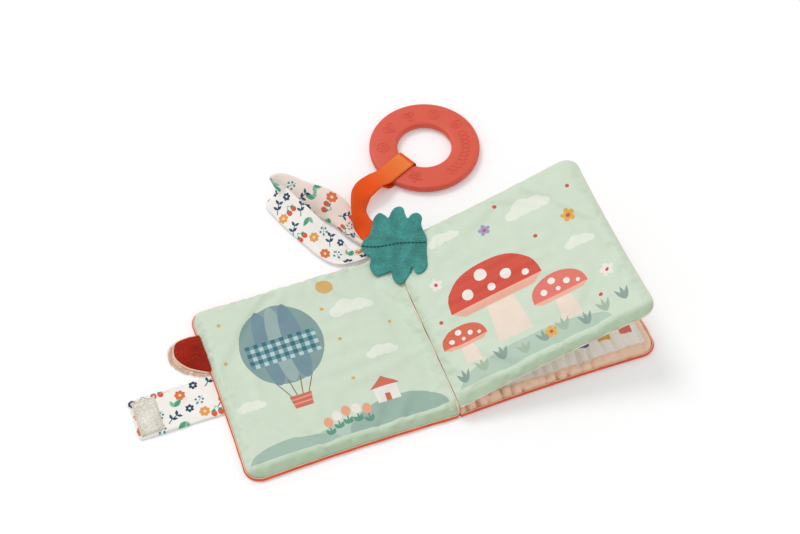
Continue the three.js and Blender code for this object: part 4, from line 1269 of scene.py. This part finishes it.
patch_seam = []
patch_left, patch_right, patch_low, patch_high, patch_top = -210.2, -194.8, -11, 15, 2.75
for x0, y0, x1, y1 in ((patch_left, patch_low, patch_left, patch_high),
                       (patch_right, patch_low, patch_right, patch_high),
                       (patch_left, patch_low, patch_right, patch_low),
                       (patch_left, patch_high, patch_right, patch_high)):
    count = round(math.hypot(x1 - x0, y1 - y0) / zigzag)
    for k in range(count):
        a = Vector((x0 + (x1 - x0) * k / count, y0 + (y1 - y0) * k / count, patch_top))
        way = Vector((x1 - x0, y1 - y0, 0)).normalized()
        cross = Vector((-way.y, way.x, 0)) * (zigzag_half if k % 2 else -zigzag_half)
        patch_seam.append([tuple(a - cross), tuple(a + way * 0.65 + Vector((0, 0, 0.12))),
                           tuple(a + way * 1.3 + cross)])
patch_stitches = tubes("hook_tape_stitches", patch_seam, 0.16, cream_tape, "fastener_cream",
                       sides=5)
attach(patch_stitches, "strap_tip")
hooks = tape("hook_tape", hook_left, hook_right, strap_low + hook_inset, strap_high - hook_inset,
             hook_height, hook_rise, 61)
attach(hooks, "strap_tip")
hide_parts("hook_patch")
loops_under = tape("loop_tape", loop_left, loop_right, strap_low + loop_inset,
                   strap_high - loop_inset, loop_height, loop_rise, 62, True)
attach(loops_under, "back_cover")
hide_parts("loop_patch")
print("tapes with", len(patch_seam), "zigzag stitches")

# %% [markdown]
# A small tab of deep red terry stands out at the cover's fore edge, with fluffy peach plush
# peeping out from under it and a peach edge. Both faces have a rough height of their own, and the
# plush has its fine hairs round the rim.

# %% Terry tab
tab_reach, tab_width, tab_y, tab_base, tab_far_x = 19.5, 33.0, 37.0, -150.5, -152.3
tab_bend_near, tab_bend_far, tab_box_x, tab_box_y = -151.2, -153.6, -150, 56
terry_bottom, terry_top, plush_bottom, plush_top, hair_count = 2.6, 4.7, 0.7, 1.5, 520
shares = [(0, 0.5), (0.5, 0.51), (0.84, 0.45), (1, 0.24), (0.96, 0.02), (0.62, -0.26), (0, -0.5)]

def tab_outline(shift_x, shift_y, inner=0.0):
    """The tab's outline, moved by shift_x and shift_y and drawn in by the share inner."""
    points = smooth_line([(tab_far_x - a * tab_reach, tab_y + b * tab_width)
                          for a, b in shares], 8)
    points = points + [shift_x, shift_y]
    middle = points.mean(axis=0)
    points = middle + (points - middle) * (1 - inner)
    return [(tab_base, points[0][1])] + [tuple(p) for p in points] + [(tab_base, points[-1][1])]

def plump(outline, bottom, top, seed, rough):
    """Heights for a face that swells from its outline and is rough all over."""
    edge = np.array(outline)
    rng = np.random.default_rng(seed)
    def surface(flat):
        gap = np.min(np.linalg.norm(flat[:, None] - edge[None], axis=2), axis=1)
        rise = np.sqrt(np.clip(gap / 4, 0.02, 1))
        high = bottom + (top - bottom) * rise + rough * rng.uniform(-1, 1, len(flat)) * (gap > 0.6)
        return np.stack([flat[:, 0], flat[:, 1], high], -1) * mm
    return surface

terry_line = tab_outline(0, 0, 0.03)
terry = place_piece("terry_face", printed_mesh(
    "terry_face", (-174, 18), (tab_box_x, tab_box_y), 0.9, [], "A23A24",
    plump(terry_line, terry_bottom, terry_top, 71, 0.22), cut=terry_line), red_terry,
    slot="red_terry")
thicken(terry, 1.0, offset=-1.0)
trim_line = [(x, y, 2.4) for x, y in tab_outline(0, 0, 0.0)[1:-1]]
trim = tubes("terry_trim", [trim_line], 0.8, peach_cotton, "red_terry", sides=10)
plush_line = tab_outline(-3.4, -1, 0.03)
plush = place_piece("plush_face", printed_mesh(
    "plush_face", (-178, 16), (tab_box_x, tab_box_y), 1.1, [], "F2B48E",
    plump(plush_line, plush_bottom, plush_top, 72, 0.2), cut=plush_line), peach_plush,
    slot="peach_plush")
thicken(plush, 0.6, offset=-1.0)
rng = random.Random(73)
hairs = []
rim = np.array(plush_line[1:-1])
for _ in range(hair_count):
    k = rng.randrange(2, len(rim) - 2)
    start = rim[k] + (rim[k + 1] - rim[k]) * rng.random()
    way = rim[k + 1] - rim[k - 1]
    out = np.array([way[1], -way[0]]) / np.linalg.norm(way)
    out = out if np.dot(out, start - rim.mean(axis=0)) > 0 else -out
    side = rng.uniform(-0.6, 0.6)
    tip = start + (out + side * way / np.linalg.norm(way)) * rng.uniform(0.7, 2.0)
    z = rng.uniform(0.5, 1.4)
    inside = start - out * rng.uniform(0.3, 2.5)
    hairs.append([(inside[0], inside[1], z + 0.2), (start[0], start[1], z + 0.5),
                  (tip[0], tip[1], z - 0.3)])
fringe = tubes("plush_hairs", hairs, 0.13, peach_plush, "peach_plush", sides=4)
for piece in (terry, trim, plush, fringe):
    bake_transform(piece)
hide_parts("terry_tab")
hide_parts("plush_tab")
print("tab", tab_width, "mm wide with", len(hairs), "hairs")

# %% [markdown]
# The leaf's sewn edge is bound in a thin roll, which lies on the leaf's hinge.

# %% Leaf binding
binding_line = [(0.15 * math.sin(y / 4.1), y, leaf_hinge + 0.15 * math.sin(y / 5.3))
                for y in np.linspace(-spine_reach, spine_reach, 90)]
binding = tubes("leaf_binding_roll", [binding_line], 0.6, cream_tape, "cream_binding", sides=12)
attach(binding, "middle_leaf")
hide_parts("leaf_binding")
print("leaf binding", 2 * spine_reach, "mm long")
